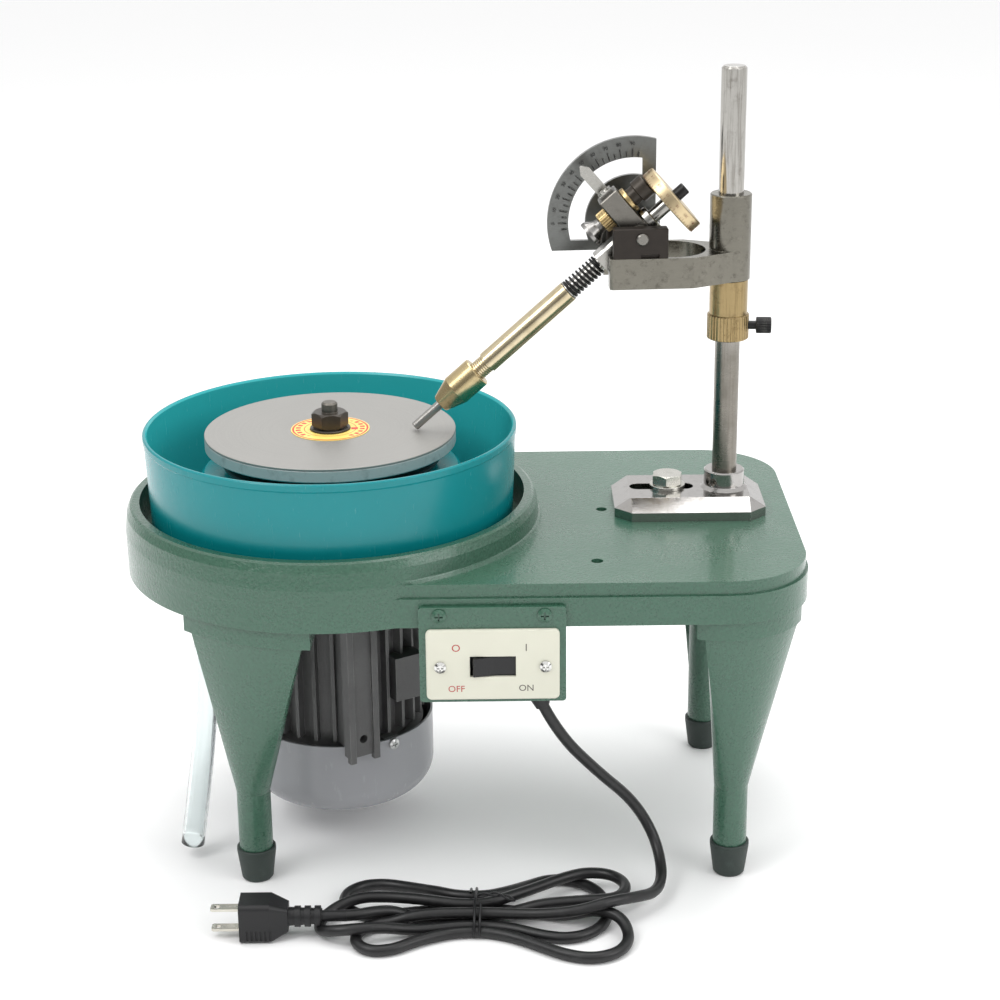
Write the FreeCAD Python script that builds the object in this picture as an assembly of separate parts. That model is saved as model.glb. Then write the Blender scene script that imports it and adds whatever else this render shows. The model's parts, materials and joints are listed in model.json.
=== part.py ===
import FreeCAD, Part
import math
import os

os.makedirs("parts", exist_ok=True)
V = FreeCAD.Vector

# ---------------------------------------------------------------- sizes, mm
# Working frame: Z up from the floor, the spindle axis at X = Y = 0, X towards
# the mast, Y away from the operator.  The whole machine is moved at the end
# so that the middle of its footprint is the origin.

# castings
DECK_TOP = 199.0           # height of the flat deck
DECK_THICK = 6.0
SKIRT_BOTTOM = 173.7
WALL = 5.0
DECK_HALF = 116.0          # half the width of the deck over its front and back
DECK_END = 277.0           # right end of the deck from the spindle axis
DECK_CORNER = 48.0         # corner radius in plan
SKIRT_FLARE = 1.5          # how far the skirt stands out below the draft line
FLARE_TOP = 191.0
SURROUND_TOP = 214.5       # rim of the round surround
SURROUND_IN = 115.6
SURROUND_OUT = 124.6
FLOOR_TOP = 194.0          # web under the bowl
FLOOR_THICK = 6.0
# legs and feet
LEG_R = 10.0
LEG_Y = 85.5
LEG_X_LEFT = -46.8
LEG_X_RIGHT = 235.7
LEG_PAD = 11.0             # thickness of the pad bolted under the skirt
LEG_NECK = 58.0            # height where the flared shield has run out
FOOT_H = 18.0
FOOT_R_TOP = 11.6
FOOT_R_FLOOR = 9.4
FOOT_SOLE = 12.0
M8_R = 4.0
# bowl
BOWL_TOP = 256.8
BOWL_R_TOP = 111.3
BOWL_R_LOW = 108.6
BOWL_WALL = 2.3
BOWL_STEP = 78.0           # outer radius of the raised middle
BOWL_STEP_TOP = 230.0
BOWL_HOLE = 21.0
COLLAR_H = 3.0
DRAIN_ANGLE = 218.5        # degrees round the bowl from +X
DRAIN_R = 93.5
HOSE_R = 7.0
HOSE_WALL = 1.6
# spindle stack
SHAFT_R = 6.0
LAP_R = 75.0
LAP_TOP = 253.6
LAP_THICK = 1.2
PLATE_THICK = 7.4
SLINGER_R = 65.0
LABEL_R = 23.5
NUT_AF = 19.0
NUT_H = 9.5
# motor
FAN_COVER_R = 57.4
FAN_COVER_TOP = 70.7
FAN_COVER_BOTTOM = 21.5
FAN_COVER_ROUND = 18.0
HOUSING_R = 46.0
FIN_R = 52.0
FIN_COUNT = 28
HOUSING_TOP = 158.0
HOUSING_BOTTOM = 66.0
MOTOR_FEET_AT = -58.0      # direction the motor's foot rail and pad face, degrees
MOTOR_FOOT_REACH = 65.0
MOTOR_FOOT_SPACING = 38.6
MOTOR_FOOT_W = 20.0
# switch
BRACKET_W = 82.5
BRACKET_X = 54.5
BRACKET_LOW = 129.5
BRACKET_HIGH = 187.0
BRACKET_T = 3.0
BRACKET_DEEP = 26.0
PLATE_W = 75.0
PLATE_H = 42.6
PLATE_T = 2.0
ROCKER_W = 25.0
ROCKER_H = 11.6
ROCKER_TILT = 9.0
# mains cord
CORD_R = 3.3
CORD_LOW = 3.5             # height of its centre on the floor
# column
ROD_X = 237.5
ROD_Y = 11.0
ROD_R = 7.4
ROD_TOP = 465.0
BASE_L = 91.0
BASE_W = 60.5
BASE_BAND = 5.5
BASE_H = 12.0
BASE_BEVEL = 9.5
BASE_END = 23.5            # base plate reaches this far beyond the rod
BOSS_R = 12.2
BOSS_TOP = 222.5
SLOT_R = 5.4
SLOT_NEAR = 24.0           # slot ends measured from the rod axis
SLOT_FAR = 57.5
BOLT_AT = 34.5
M10_R = 5.0
# carriage, in its own frame: rod axis at the origin, -X towards the lap
SWING = 3.2                # degrees the arm stands round towards the operator
SLEEVE_R = 11.3
SLEEVE_LOW = 304.5
COLLAR_R = 12.4
COLLAR_LEN = 15.0
ARM_LOW = 341.0
ARM_T = 18.0
ARM_HALF = 24.0
ARM_LEN = 73.0
ARM_SHOULDER = 24.5
HUB_R = 12.2
HUB_TOP = 391.5
RING_R = 21.5
RING_AT = 36.0
FORK_HALF = 13.5
RUN = 0.05                 # radial clearance of a turning or sliding fit
GAP = 0.3                  # gap between faces that pass each other
# head, in its own frame: pivot at the origin, -X towards the dop
PIVOT_U = 54.5             # pivot axis, distance from the rod
PIVOT_Z = 370.3
QUILL_W = 5.0              # quill plane, distance in front of the arm's middle
QUILL_UP = 1.7             # quill axis above the pivot axis
TILT = 41.3
PIN_R = 3.5
TRUNNION_L = 31.5
TRUNNION_H = 17.4
TRUNNION_T = 8.6
HEAD_T = 12.6
HEAD_LOW = -7.0
HEAD_HIGH = 29.6
HEAD_DEEP = 15.0
GUIDE_LEN = 22.0
GUIDE_W = 12.6
QUILL_R = 4.4
GEAR_AT = 22.9
GEAR_T = 7.4
GEAR_R = 21.5
GEAR_TEETH = 64
DETENT_UP = 18.4
PLUNGE = 6.0
SPRING_TOP = -28.2
SPRING_LEN = 24.0
SPRING_WIRE = 0.9
SPRING_R = 5.3
SPRING_COILS = 8
TUBE_R = 6.6
TUBE_LEN = 64.0
CHUCK_R = 9.5
DOP_R = 2.7
DOP_TIP = -175.2
QUAD_R = 51.0
QUAD_IN = 38.5
QUAD_WINDOW = 28.5
QUAD_T = 3.0
QUAD_RIGHT = 13.5          # right edge beyond the pivot
QUAD_RIGHT_BAR = 8.0
QUAD_LOW = 16.5            # lower edge below the pivot
QUAD_LOW_BAR = 6.0


# ------------------------------------------------------------------ helpers
def cyl(r, h, at=(0, 0, 0), along=(0, 0, 1)):
    return Part.makeCylinder(r, h, V(*at), V(*along))


def cone(r1, r2, h, at=(0, 0, 0), along=(0, 0, 1)):
    return Part.makeCone(r1, r2, h, V(*at), V(*along))


def tube(ro, ri, h, at=(0, 0, 0), along=(0, 0, 1)):
    return cyl(ro, h, at, along).cut(cyl(ri, h, at, along))


def box(x0, x1, y0, y1, z0, z1):
    return Part.makeBox(x1 - x0, y1 - y0, z1 - z0, V(x0, y0, z0))


def prism(points, z0, h):
    wire = Part.makePolygon([V(x, y, z0) for x, y in points + points[:1]])
    return Part.Face(wire).extrude(V(0, 0, h))


def turned(profile, at=(0, 0)):
    """Solid of revolution about a vertical axis; profile is (r, z) pairs."""
    pts = [V(at[0] + r, at[1], z) for r, z in profile]
    face = Part.Face(Part.makePolygon(pts + pts[:1]))
    return face.revolve(V(at[0], at[1], 0), V(0, 0, 1), 360)


def turned_x(profile, y=0.0, z=0.0):
    """Solid of revolution about an axis along X; profile is (x, r) pairs."""
    pts = [V(x, y, z + r) for x, r in profile]
    face = Part.Face(Part.makePolygon(pts + pts[:1]))
    return face.revolve(V(0, y, z), V(1, 0, 0), 360)


def polar(r, deg, at=(0.0, 0.0)):
    a = math.radians(deg)
    return (at[0] + r * math.cos(a), at[1] + r * math.sin(a))


def hexagon(af, h, at=(0, 0, 0), along=(0, 0, 1), start=0.0):
    r = af / math.sqrt(3)
    pts = [polar(r, start + 60 * i) for i in range(6)]
    s = prism(pts, 0, h)
    s = s.common(turned([(0, 0), (af * 0.5 - 0.2, 0), (r + 0.2, h * 0.16),
                         (r + 0.2, h * 0.84), (af * 0.5 - 0.2, h), (0, h)]))
    s.Placement = FreeCAD.Placement(
        V(*at), FreeCAD.Rotation(V(0, 0, 1), V(*along)))
    return s


def knurled(r, h, at, along, count=30, deep=0.35):
    pts = []
    for i in range(count):
        a = 360.0 * i / count
        pts += [polar(r, a), polar(r, a + 180.0 / count * 0.8),
                polar(r - deep, a + 180.0 / count * 1.2),
                polar(r - deep, a + 180.0 / count * 1.8)]
    s = prism(pts, 0, h)
    c = turned([(0, 0), (r - 0.5, 0), (r + 0.1, 0.6), (r + 0.1, h - 0.6),
                (r - 0.5, h), (0, h)])
    s = s.common(c)
    s.Placement = FreeCAD.Placement(
        V(*at), FreeCAD.Rotation(V(0, 0, 1), V(*along)))
    return s


def fused(shapes):
    out = shapes[0]
    for s in shapes[1:]:
        out = out.fuse(s)
    return out.removeSplitter()


def sector(ri, ro, a0, a1, z0, h, at=(0.0, 0.0)):
    """Part of a flat ring between two directions, in degrees."""
    mid = 0.5 * (a0 + a1)

    def p(r, a):
        return V(*polar(r, a, at), z0)
    edges = [Part.Arc(p(ro, a0), p(ro, mid), p(ro, a1)).toShape(),
             Part.makeLine(p(ro, a1), p(ri, a1)),
             Part.Arc(p(ri, a1), p(ri, mid), p(ri, a0)).toShape(),
             Part.makeLine(p(ri, a0), p(ro, a0))]
    return Part.Face(Part.Wire(edges)).extrude(V(0, 0, h))


def rounded_plate(x0, x1, z0, z1, r, y0, depth):
    """Upright plate with rounded corners, thickness along +Y from y0."""
    k = r * (1 - math.sqrt(0.5))
    e = []
    ring = [((x0, z0 + r), (x0 + k, z0 + k), (x0 + r, z0)),
            ((x1 - r, z0), (x1 - k, z0 + k), (x1, z0 + r)),
            ((x1, z1 - r), (x1 - k, z1 - k), (x1 - r, z1)),
            ((x0 + r, z1), (x0 + k, z1 - k), (x0, z1 - r))]
    for i, (a, b, c) in enumerate(ring):
        n = ring[(i + 1) % 4][0]
        e.append(Part.Arc(*[V(q[0], y0, q[1]) for q in (a, b, c)]).toShape())
        e.append(Part.makeLine(V(c[0], y0, c[1]), V(n[0], y0, n[1])))
    return Part.Face(Part.Wire(e)).extrude(V(0, depth, 0))


def route_wire(points):
    """Straight runs joined by tangent arcs; returns wire, length, radii."""
    p = [V(*q) for q in points]
    edges, radii, last = [], [], p[0]
    for i in range(1, len(p) - 1):
        a, b = p[i - 1] - p[i], p[i + 1] - p[i]
        la, lb = a.Length, b.Length
        a.normalize()
        b.normalize()
        half = (math.pi - a.getAngle(b)) / 2.0
        t = 0.45 * min(la, lb)
        r = t / math.tan(half)
        bis = a + b
        bis.normalize()
        centre = p[i] + bis * (r / math.cos(half))
        s, e = p[i] + a * t, p[i] + b * t
        m = centre - bis * r
        edges += [Part.makeLine(last, s), Part.Arc(s, m, e).toShape()]
        radii.append(r)
        last = e
    edges.append(Part.makeLine(last, p[-1]))
    wire = Part.Wire(edges)
    return wire, wire.Length, radii


def along_route(points, r, hollow=0.0):
    wire, length, radii = route_wire(points)
    d = V(*points[1]) - V(*points[0])

    def sweep(rr):
        ring = Part.Wire(Part.Circle(V(*points[0]), d, rr).toShape())
        return wire.makePipeShell([ring], True, False)
    body = sweep(r)
    if hollow:
        body = body.cut(sweep(hollow))
    area = math.pi * (r * r - hollow * hollow)
    print("route length %.1f  volume/section %.1f  bends %s" % (
        length, body.Volume / area, " ".join("%.0f" % q for q in radii)))
    return body


def ring_of(shape, count, axis_at=(0, 0), start=0.0):
    out = []
    for i in range(count):
        c = shape.copy()
        c.rotate(V(axis_at[0], axis_at[1], 0), V(0, 0, 1),
                 start + 360.0 * i / count)
        out.append(c)
    return out


# ------------------------------------------------------------ base casting
CORNER_X = DECK_END - DECK_CORNER
LEG_BOSS_R = 9.7
CORNER_Y = DECK_HALF - DECK_CORNER


def outline(grow, z0, h):
    """The casting's plan: a round end joined to a rounded rectangle."""
    half, end = DECK_HALF + grow, DECK_END + grow
    r = DECK_CORNER + grow
    disc = cyl(SURROUND_OUT - 1.6 + grow, h, (0, 0, z0))
    deck = fused([box(0, end - r, -half, half, z0, z0 + h),
                  box(end - r - 1, end, -half + r, half - r, z0, z0 + h),
                  cyl(r, h, (end - r, half - r, z0)),
                  cyl(r, h, (end - r, -half + r, z0))])
    return disc.fuse(deck).removeSplitter()


def leg_stations():
    """Name, centre of the corner curve, its radius, pad directions, foot."""
    out = []
    for side, s in (("front", -1), ("rear", 1)):
        out.append((side + "_left", (0.0, 0.0), SURROUND_OUT - 2.6,
                    (s * 131.5, s * 93.0), (LEG_X_LEFT, s * LEG_Y)))
        out.append((side + "_right", (CORNER_X, s * CORNER_Y), DECK_CORNER,
                    (s * 22.0, s * 112.0), (LEG_X_RIGHT, s * LEG_Y)))
    return out


def leg_bolt_at(station):
    name, centre, r, (a0, a1), foot = station
    depth = 13.0 if "left" in name else 16.0
    return polar(r - depth, 0.5 * (a0 + a1) + (a1 - a0) * 0.27, centre)


def leg_bolt_points():
    return [leg_bolt_at(s) for s in leg_stations()]


def base_casting():
    inner_z = DECK_TOP - DECK_THICK
    skin = outline(SKIRT_FLARE, SKIRT_BOTTOM, FLARE_TOP - SKIRT_BOTTOM)
    upper = outline(0.0, FLARE_TOP - 1, DECK_TOP - FLARE_TOP + 1)
    hollow = outline(-WALL, SKIRT_BOTTOM - 1, inner_z - SKIRT_BOTTOM + 1)
    surround = turned([
        (SURROUND_IN, FLOOR_TOP - FLOOR_THICK), (SURROUND_OUT - 1.0, 186.0),
        (SURROUND_OUT, 190.0), (SURROUND_OUT, DECK_TOP),
        (SURROUND_OUT - 1.2, 209.0), (SURROUND_OUT - 3.2, SURROUND_TOP - 1.0),
        (SURROUND_OUT - 4.6, SURROUND_TOP), (SURROUND_IN, SURROUND_TOP)])
    web = cyl(SURROUND_IN + 1, FLOOR_THICK, (0, 0, FLOOR_TOP - FLOOR_THICK))
    body = skin.fuse(upper).cut(hollow)
    body = body.cut(cyl(SURROUND_IN, 60, (0, 0, FLOOR_TOP)))
    body = body.fuse(surround).fuse(web)
    # bosses for the legs and for the column's clamping bolt
    extra = []
    for x, y in leg_bolt_points():
        extra.append(cyl(LEG_BOSS_R, inner_z + 0.5 - SKIRT_BOTTOM, (x, y, SKIRT_BOTTOM)))
    extra.append(cyl(14.0, 16.0, (ROD_X - BOLT_AT, ROD_Y, inner_z - 15.5)))
    for y in (-46.0, 46.0):
        extra.append(box(SURROUND_IN + 8, DECK_END - WALL + 0.5, y - 2, y + 2,
                         inner_z - 9, inner_z + 0.5))
    inside = outline(-0.5, SKIRT_BOTTOM, inner_z + 1 - SKIRT_BOTTOM)
    for e in extra:
        body = body.fuse(e.common(inside))
    # raised edge bead round the foot of the surround
    body = body.fuse(turned([(SURROUND_OUT - 2, DECK_TOP - 1), (SURROUND_OUT + 2.4, DECK_TOP - 1),
                             (SURROUND_OUT + 0.6, DECK_TOP + 1.6),
                             (SURROUND_OUT - 2, DECK_TOP + 3)]).common(
        box(0, 200, -DECK_HALF + 1, DECK_HALF - 1, 190, 215)))
    holes = [cyl(M8_R, 17.0, (x, y, SKIRT_BOTTOM - 1)) for x, y in leg_bolt_points()]
    holes.append(cyl(M10_R, 60, (ROD_X - BOLT_AT, ROD_Y, 150)))
    holes.append(cyl(3.3, 30, (162.7, 4, 180)))
    holes.append(cyl(3.5, 30, (156, -82, 180)))
    holes.append(cyl(30.0, 20, (0, 0, 180)))
    dx, dy = polar(DRAIN_R, DRAIN_ANGLE)
    holes.append(cyl(9.5, 20, (dx, dy, 180)))
    for x, y in motor_stud_points():
        holes.append(cyl(2.6, 20, (x, y, 180)))
    for x in bracket_screw_x():
        holes.append(cyl(2.0, 14, (x, -DECK_HALF - SKIRT_FLARE - 1, BRACKET_SCREW_Z), (0, 1, 0)))
    for h in holes:
        body = body.cut(h)
    return body.removeSplitter()


def leg(station):
    name, c, r, (a0, a1), foot = station
    top = SKIRT_BOTTOM
    pad = sector(r - 26.0, r, a0, a1, top - LEG_PAD, LEG_PAD, c)
    pad = pad.fuse(cyl(LEG_R + 3, LEG_PAD, (foot[0], foot[1], top - LEG_PAD)))
    post = cyl(LEG_R, top - 1 - FOOT_SOLE, (foot[0], foot[1], FOOT_SOLE))
    # flared shield: lofted from a curved band down to the round post
    mid = 0.5 * (a0 + a1)
    z1 = top - LEG_PAD + 1.0
    shrink = 0.88

    def band(ri, ro, z):
        b0 = mid + (a0 - mid) * shrink
        b1 = mid + (a1 - mid) * shrink
        q = [V(*polar(ro, b0, c), z), V(*polar(ro, mid, c), z),
             V(*polar(ro, b1, c), z), V(*polar(ri, b1, c), z),
             V(*polar(ri, mid, c), z), V(*polar(ri, b0, c), z)]
        return Part.Wire([Part.Arc(q[0], q[1], q[2]).toShape(),
                          Part.makeLine(q[2], q[3]),
                          Part.Arc(q[3], q[4], q[5]).toShape(),
                          Part.makeLine(q[5], q[0])])

    def neck(z, rr):
        s = 1.0 if a1 > a0 else -1.0
        a = [mid - s * 62, mid, mid + s * 62, mid + s * 118, mid + 180,
             mid - s * 118]
        q = [V(*polar(rr, k, foot), z) for k in a]
        far = V(*polar(rr, mid + s * 90, foot), z)
        near = V(*polar(rr, mid - s * 90, foot), z)
        return Part.Wire([Part.Arc(q[0], q[1], q[2]).toShape(),
                          Part.Arc(q[2], far, q[3]).toShape(),
                          Part.Arc(q[3], q[4], q[5]).toShape(),
                          Part.Arc(q[5], near, q[0]).toShape()])
    shield = Part.makeLoft([band(r - 7.0, r - 0.6, z1), neck(LEG_NECK, LEG_R + 0.05)],
                           True, True)
    body = post.fuse(shield).fuse(pad)
    x, y = leg_bolt_at(station)
    body = body.cut(cyl(M8_R + 0.4, 40, (x, y, top - 30)))
    body = body.cut(cyl(8.5, 9, (x, y, top - LEG_PAD - 9)))
    return body.removeSplitter()


def foot(station):
    x, y = station[4]
    body = turned([(0, 0), (FOOT_R_FLOOR - 1, 0), (FOOT_R_FLOOR, 1.2),
                   (FOOT_R_TOP, FOOT_H), (FOOT_R_TOP, FOOT_H + 2.4),
                   (FOOT_R_TOP - 0.5, FOOT_H + 3.0), (0, FOOT_H + 3.0)], (x, y))
    return body.cut(cyl(LEG_R + RUN, 40, (x, y, FOOT_SOLE)))


def leg_bolts():
    out = []
    for x, y in leg_bolt_points():
        under = SKIRT_BOTTOM - LEG_PAD
        b = hexagon(13.0, 5.3, (x, y, under - 5.3), start=15)
        out.append(b.fuse(cyl(M8_R - RUN, LEG_PAD + 14, (x, y, under - 0.1))))
    return out


# -------------------------------------------------------------------- bowl
def bowl():
    w, z0 = BOWL_WALL, FLOOR_TOP
    body = turned([
        (BOWL_STEP, z0), (BOWL_R_LOW - 4, z0), (BOWL_R_LOW - 1.2, z0 + 1.2),
        (BOWL_R_LOW, z0 + 4), (BOWL_R_TOP - 0.6, BOWL_TOP - 5),
        (BOWL_R_TOP, BOWL_TOP - 4), (BOWL_R_TOP, BOWL_TOP - 0.8),
        (BOWL_R_TOP - 0.8, BOWL_TOP), (BOWL_R_TOP - 1.8, BOWL_TOP),
        (BOWL_R_TOP - w - 0.3, BOWL_TOP - 1.2), (BOWL_R_LOW - w, z0 + 5),
        (BOWL_R_LOW - w - 2, z0 + w + 0.6), (BOWL_R_LOW - w - 4, z0 + w),
        (BOWL_STEP + 2, z0 + w), (BOWL_STEP, z0 + w + 2),
        (BOWL_STEP, BOWL_STEP_TOP - 2), (BOWL_STEP - 2, BOWL_STEP_TOP),
        (BOWL_HOLE + w, BOWL_STEP_TOP), (BOWL_HOLE + w, BOWL_STEP_TOP + COLLAR_H),
        (BOWL_HOLE, BOWL_STEP_TOP + COLLAR_H), (BOWL_HOLE, BOWL_STEP_TOP - w),
        (BOWL_STEP - w - 1, BOWL_STEP_TOP - w), (BOWL_STEP - w, BOWL_STEP_TOP - w - 1),
        (BOWL_STEP - w, z0)])
    for i in range(8):
        rib = box(BOWL_HOLE + w - 0.5, BOWL_STEP - w + 0.3, -1.2, 1.2,
                  BOWL_STEP_TOP - w - 7, BOWL_STEP_TOP - w + 0.3)
        rib.rotate(V(0, 0, 0), V(0, 0, 1), 45 * i + 10)
        body = body.fuse(rib)
    for i in range(6):
        rib = box(BOWL_STEP - 0.6, BOWL_STEP + 7, -1.3, 1.3, z0 + 1, BOWL_STEP_TOP - 8)
        rib.rotate(V(0, 0, 0), V(0, 0, 1), 60 * i + 8)
        body = body.fuse(rib)
    dx, dy = polar(DRAIN_R, DRAIN_ANGLE)
    return body.cut(cyl(5.2 + RUN, 20, (dx, dy, z0 - 5))).removeSplitter()


def drain_nozzle():
    """Flanged spout pushed up through the bowl floor; the hose fits over it."""
    dx, dy = polar(DRAIN_R, DRAIN_ANGLE)
    s = turned([(3.6, NOZZLE_LOW), (5.2, NOZZLE_LOW + 4), (4.9, NOZZLE_LOW + 4.5),
                (5.2, NOZZLE_LOW + 9), (4.9, NOZZLE_LOW + 9.5), (5.2, FLOOR_TOP - 8),
                (8.6, FLOOR_TOP - 8), (8.6, FLOOR_TOP - 0.3), (5.2, FLOOR_TOP - 0.3),
                (5.2, FLOOR_TOP + BOWL_WALL), (7.6, FLOOR_TOP + BOWL_WALL),
                (7.2, FLOOR_TOP + BOWL_WALL + 1.4), (3.6, FLOOR_TOP + BOWL_WALL + 1.0)],
               (dx, dy))
    return s


NOZZLE_LOW = 160.0


def drain_hose():
    dx, dy = polar(DRAIN_R, DRAIN_ANGLE)
    top = NOZZLE_LOW + 12
    pts = [(dx, dy, top), (dx - 0.5, dy, top - 52), (dx - 6.0, dy - 0.5, 66),
           (dx - 15.5, dy - 1.5, 9.0)]
    return along_route(pts, HOSE_R, HOSE_R - HOSE_WALL)


# ------------------------------------------------------------------- motor
STUD_CIRCLE = 53.5


def motor_stud_points():
    return [polar(STUD_CIRCLE, a) for a in (35, 125, 215, 305)]


def motor_housing():
    """Cast shell with cooling fins, a foot rail and a flat pad, open inside."""
    z0, z1 = HOUSING_BOTTOM, HOUSING_TOP
    body = cyl(HOUSING_R, z1 - z0, (0, 0, z0))
    fin = box(HOUSING_R - 1, FIN_R, -1.1, 1.1, z0 + 6, z1 - 2)
    for f in ring_of(fin, FIN_COUNT, start=MOTOR_FEET_AT + 6.4):
        body = body.fuse(f)
    yc = -MOTOR_FOOT_SPACING / 2.0
    pad = box(MOTOR_FOOT_REACH - 6, MOTOR_FOOT_REACH, yc - MOTOR_FOOT_W / 2,
              yc + MOTOR_FOOT_W / 2, z0 + 3, z1 - 2)
    web = box(30, MOTOR_FOOT_REACH - 5, yc - 6, yc + 6, z0 + 5, z1 - 2)
    lip = [box(MOTOR_FOOT_REACH - 2, MOTOR_FOOT_REACH + 1.8, yc + k, yc + k + 4,
               z0, z1 - 2) for k in (-MOTOR_FOOT_W / 2, MOTOR_FOOT_W / 2 - 4)]
    rail = fused([pad, web] + lip)
    rail = rail.cut(cyl(2.6, 30, (MOTOR_FOOT_REACH - 22, yc, z0 + 14), (1, 0, 0)))
    flat = box(40, FIN_R + 3.2, -yc - 10, -yc + 9, z0 + 27, z0 + 55)
    for f in (rail, flat):
        f.rotate(V(0, 0, 0), V(0, 0, 1), MOTOR_FEET_AT)
        body = body.fuse(f)
    body = body.cut(cyl(HOUSING_R - 4.5, z1 - z0 + 2, (0, 0, z0 - 1)))
    return body.removeSplitter()


def motor_upper_bell():
    """Flanged end bell bolted up to the web of the casting."""
    top = FLOOR_TOP - FLOOR_THICK
    body = turned([
        (BEARING_R, top - 2), (24.0, top - 2), (24.0, top), (58.5, top), (58.5, top - 7),
        (49.5, top - 7),
        (HOUSING_R + 1, HOUSING_TOP + 12), (HOUSING_R + 1, HOUSING_TOP),
        (HOUSING_R - 4.6, HOUSING_TOP), (HOUSING_R - 4.6, HOUSING_TOP - 4),
        (HOUSING_R - 8, HOUSING_TOP - 4), (HOUSING_R - 8, HOUSING_TOP + 12),
        (24.0, top - 9), (20.0, top - 12), (BEARING_R, top - 12)])
    for x, y in motor_stud_points():
        body = body.cut(cyl(2.7, 60, (x, y, top - 50)))
    return body


BEARING_R = 16.0
BEARING_H = 9.0


def bearing(z0):
    """Sealed ball bearing drawn as its two rings with the seal between."""
    outer = turned([(BEARING_R - RUN * 0.2, z0), (BEARING_R - RUN * 0.2, z0 + BEARING_H),
                    (BEARING_R - 3.2, z0 + BEARING_H), (BEARING_R - 3.4, z0 + BEARING_H - 0.8),
                    (SHAFT_R + 2.6, z0 + BEARING_H - 0.8), (SHAFT_R + 2.4, z0 + BEARING_H),
                    (SHAFT_R + RUN, z0 + BEARING_H), (SHAFT_R + RUN, z0),
                    (SHAFT_R + 2.4, z0), (SHAFT_R + 2.6, z0 + 0.8),
                    (BEARING_R - 3.4, z0 + 0.8), (BEARING_R - 3.2, z0)])
    return outer


UPPER_BEARING_Z = FLOOR_TOP - FLOOR_THICK - 11.5
LOWER_BEARING_Z = HOUSING_BOTTOM - 1.0


def motor_lower_bell():
    z0 = HOUSING_BOTTOM
    body = turned([
        (BEARING_R, z0 - 1.5), (BEARING_R, z0 + 8.5), (20.0, z0 + 8.5), (24.0, z0 + 5),
        (HOUSING_R - 4.7, z0 + 5), (HOUSING_R - 4.7, z0), (HOUSING_R + 2, z0),
        (FAN_COVER_R - 6, z0 - 0.5), (FAN_COVER_R - 6, z0 - 4.5), (HOUSING_R, z0 - 5),
        (22.0, z0 - 2), (20.0, z0 - 4.5), (BEARING_R - 3, z0 - 4.5), (BEARING_R - 3, z0 - 1.5)])
    for a in cover_screw_angles():
        x, y = polar(FAN_COVER_R - 7, a)
        ear = box(-1.0, 5.9 - 1.3, -5, 5, z0 - 4.5, z0 + 5.0)
        ear.rotate(V(0, 0, 0), V(0, 0, 1), a)
        ear.translate(V(x, y, 0))
        body = body.fuse(ear)
    outside = cyl(FAN_COVER_R - 1.3 - 0.05, 30, (0, 0, z0 - 10))
    body = body.common(outside)
    for a in cover_screw_angles():
        body = body.cut(cyl(1.9, 14, (*polar(FAN_COVER_R - 13, a), COVER_SCREW_Z),
                            (*polar(1, a), 0)))
    return body.removeSplitter()


COVER_SCREW_Z = HOUSING_BOTTOM + 1.5


def cover_screw_angles():
    return (-53.0, 37.0, 127.0, 217.0)


def fan_cover():
    """Deep-drawn steel cover over the fan, open at the top, holed below."""
    t, r, zb, zt, f = 1.3, FAN_COVER_R, FAN_COVER_BOTTOM, FAN_COVER_TOP, FAN_COVER_ROUND

    def half(grow):
        rr, z0, k = r - grow, zb + grow, f - grow
        a = V(0, 0, z0)
        b, c = V(rr - k, 0, z0), V(rr, 0, z0 + k)
        m = V(rr - k + k * math.sqrt(0.5), 0, z0 + k - k * math.sqrt(0.5))
        d, e = V(rr, 0, zt + grow), V(0, 0, zt + grow)
        w = Part.Wire([Part.makeLine(a, b), Part.Arc(b, m, c).toShape(),
                       Part.makeLine(c, d), Part.makeLine(d, e), Part.makeLine(e, a)])
        return Part.Face(w).revolve(V(0, 0, 0), V(0, 0, 1), 360)
    body = half(0.0).cut(half(t))
    for rad, n in ((10.0, 6), (19.0, 12), (28.0, 18)):
        for i in range(n):
            x, y = polar(rad, 360.0 * i / n)
            body = body.cut(cyl(2.7, 8, (x, y, zb - 2)))
    body = body.cut(cyl(2.7, 8, (0, 0, zb - 2)))
    for a in cover_screw_angles():
        body = body.cut(cyl(2.1, 10, (*polar(r - 5, a), COVER_SCREW_Z), (*polar(1, a), 0)))
    return body


def cover_screws():
    out = []
    for a in cover_screw_angles():
        d = (*polar(1, a), 0)
        head = cyl(3.4, 1.6, (*polar(FAN_COVER_R + 0.02, a), COVER_SCREW_Z), d)
        dome = cone(3.4, 1.8, 0.8, (*polar(FAN_COVER_R + 1.62, a), COVER_SCREW_Z), d)
        s = head.fuse(dome).fuse(cyl(1.85, 7.5, (*polar(FAN_COVER_R - 7.4, a), COVER_SCREW_Z), d))
        s = s.cut(cross_slot(FAN_COVER_R + 2.6, a, COVER_SCREW_Z))
        out.append(s.removeSplitter())
    return out


def cross_slot(r, a, z, deep=1.4):
    s = box(-deep, 0.6, -1.9, 1.9, -0.35, 0.35).fuse(box(-deep, 0.6, -0.35, 0.35, -1.9, 1.9))
    s.translate(V(r, 0, z))
    s.rotate(V(0, 0, 0), V(0, 0, 1), a)
    return s


def cooling_fan():
    z0 = HOUSING_BOTTOM - 30
    body = tube(9.0, SHAFT_R, 18, (0, 0, z0 + 3)).fuse(tube(40.0, SHAFT_R, 2.2, (0, 0, z0)))
    blade = box(8.5, 40.0, -1.0, 1.0, z0 + 1, z0 + 15)
    return fused([body] + ring_of(blade, 9))


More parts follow.
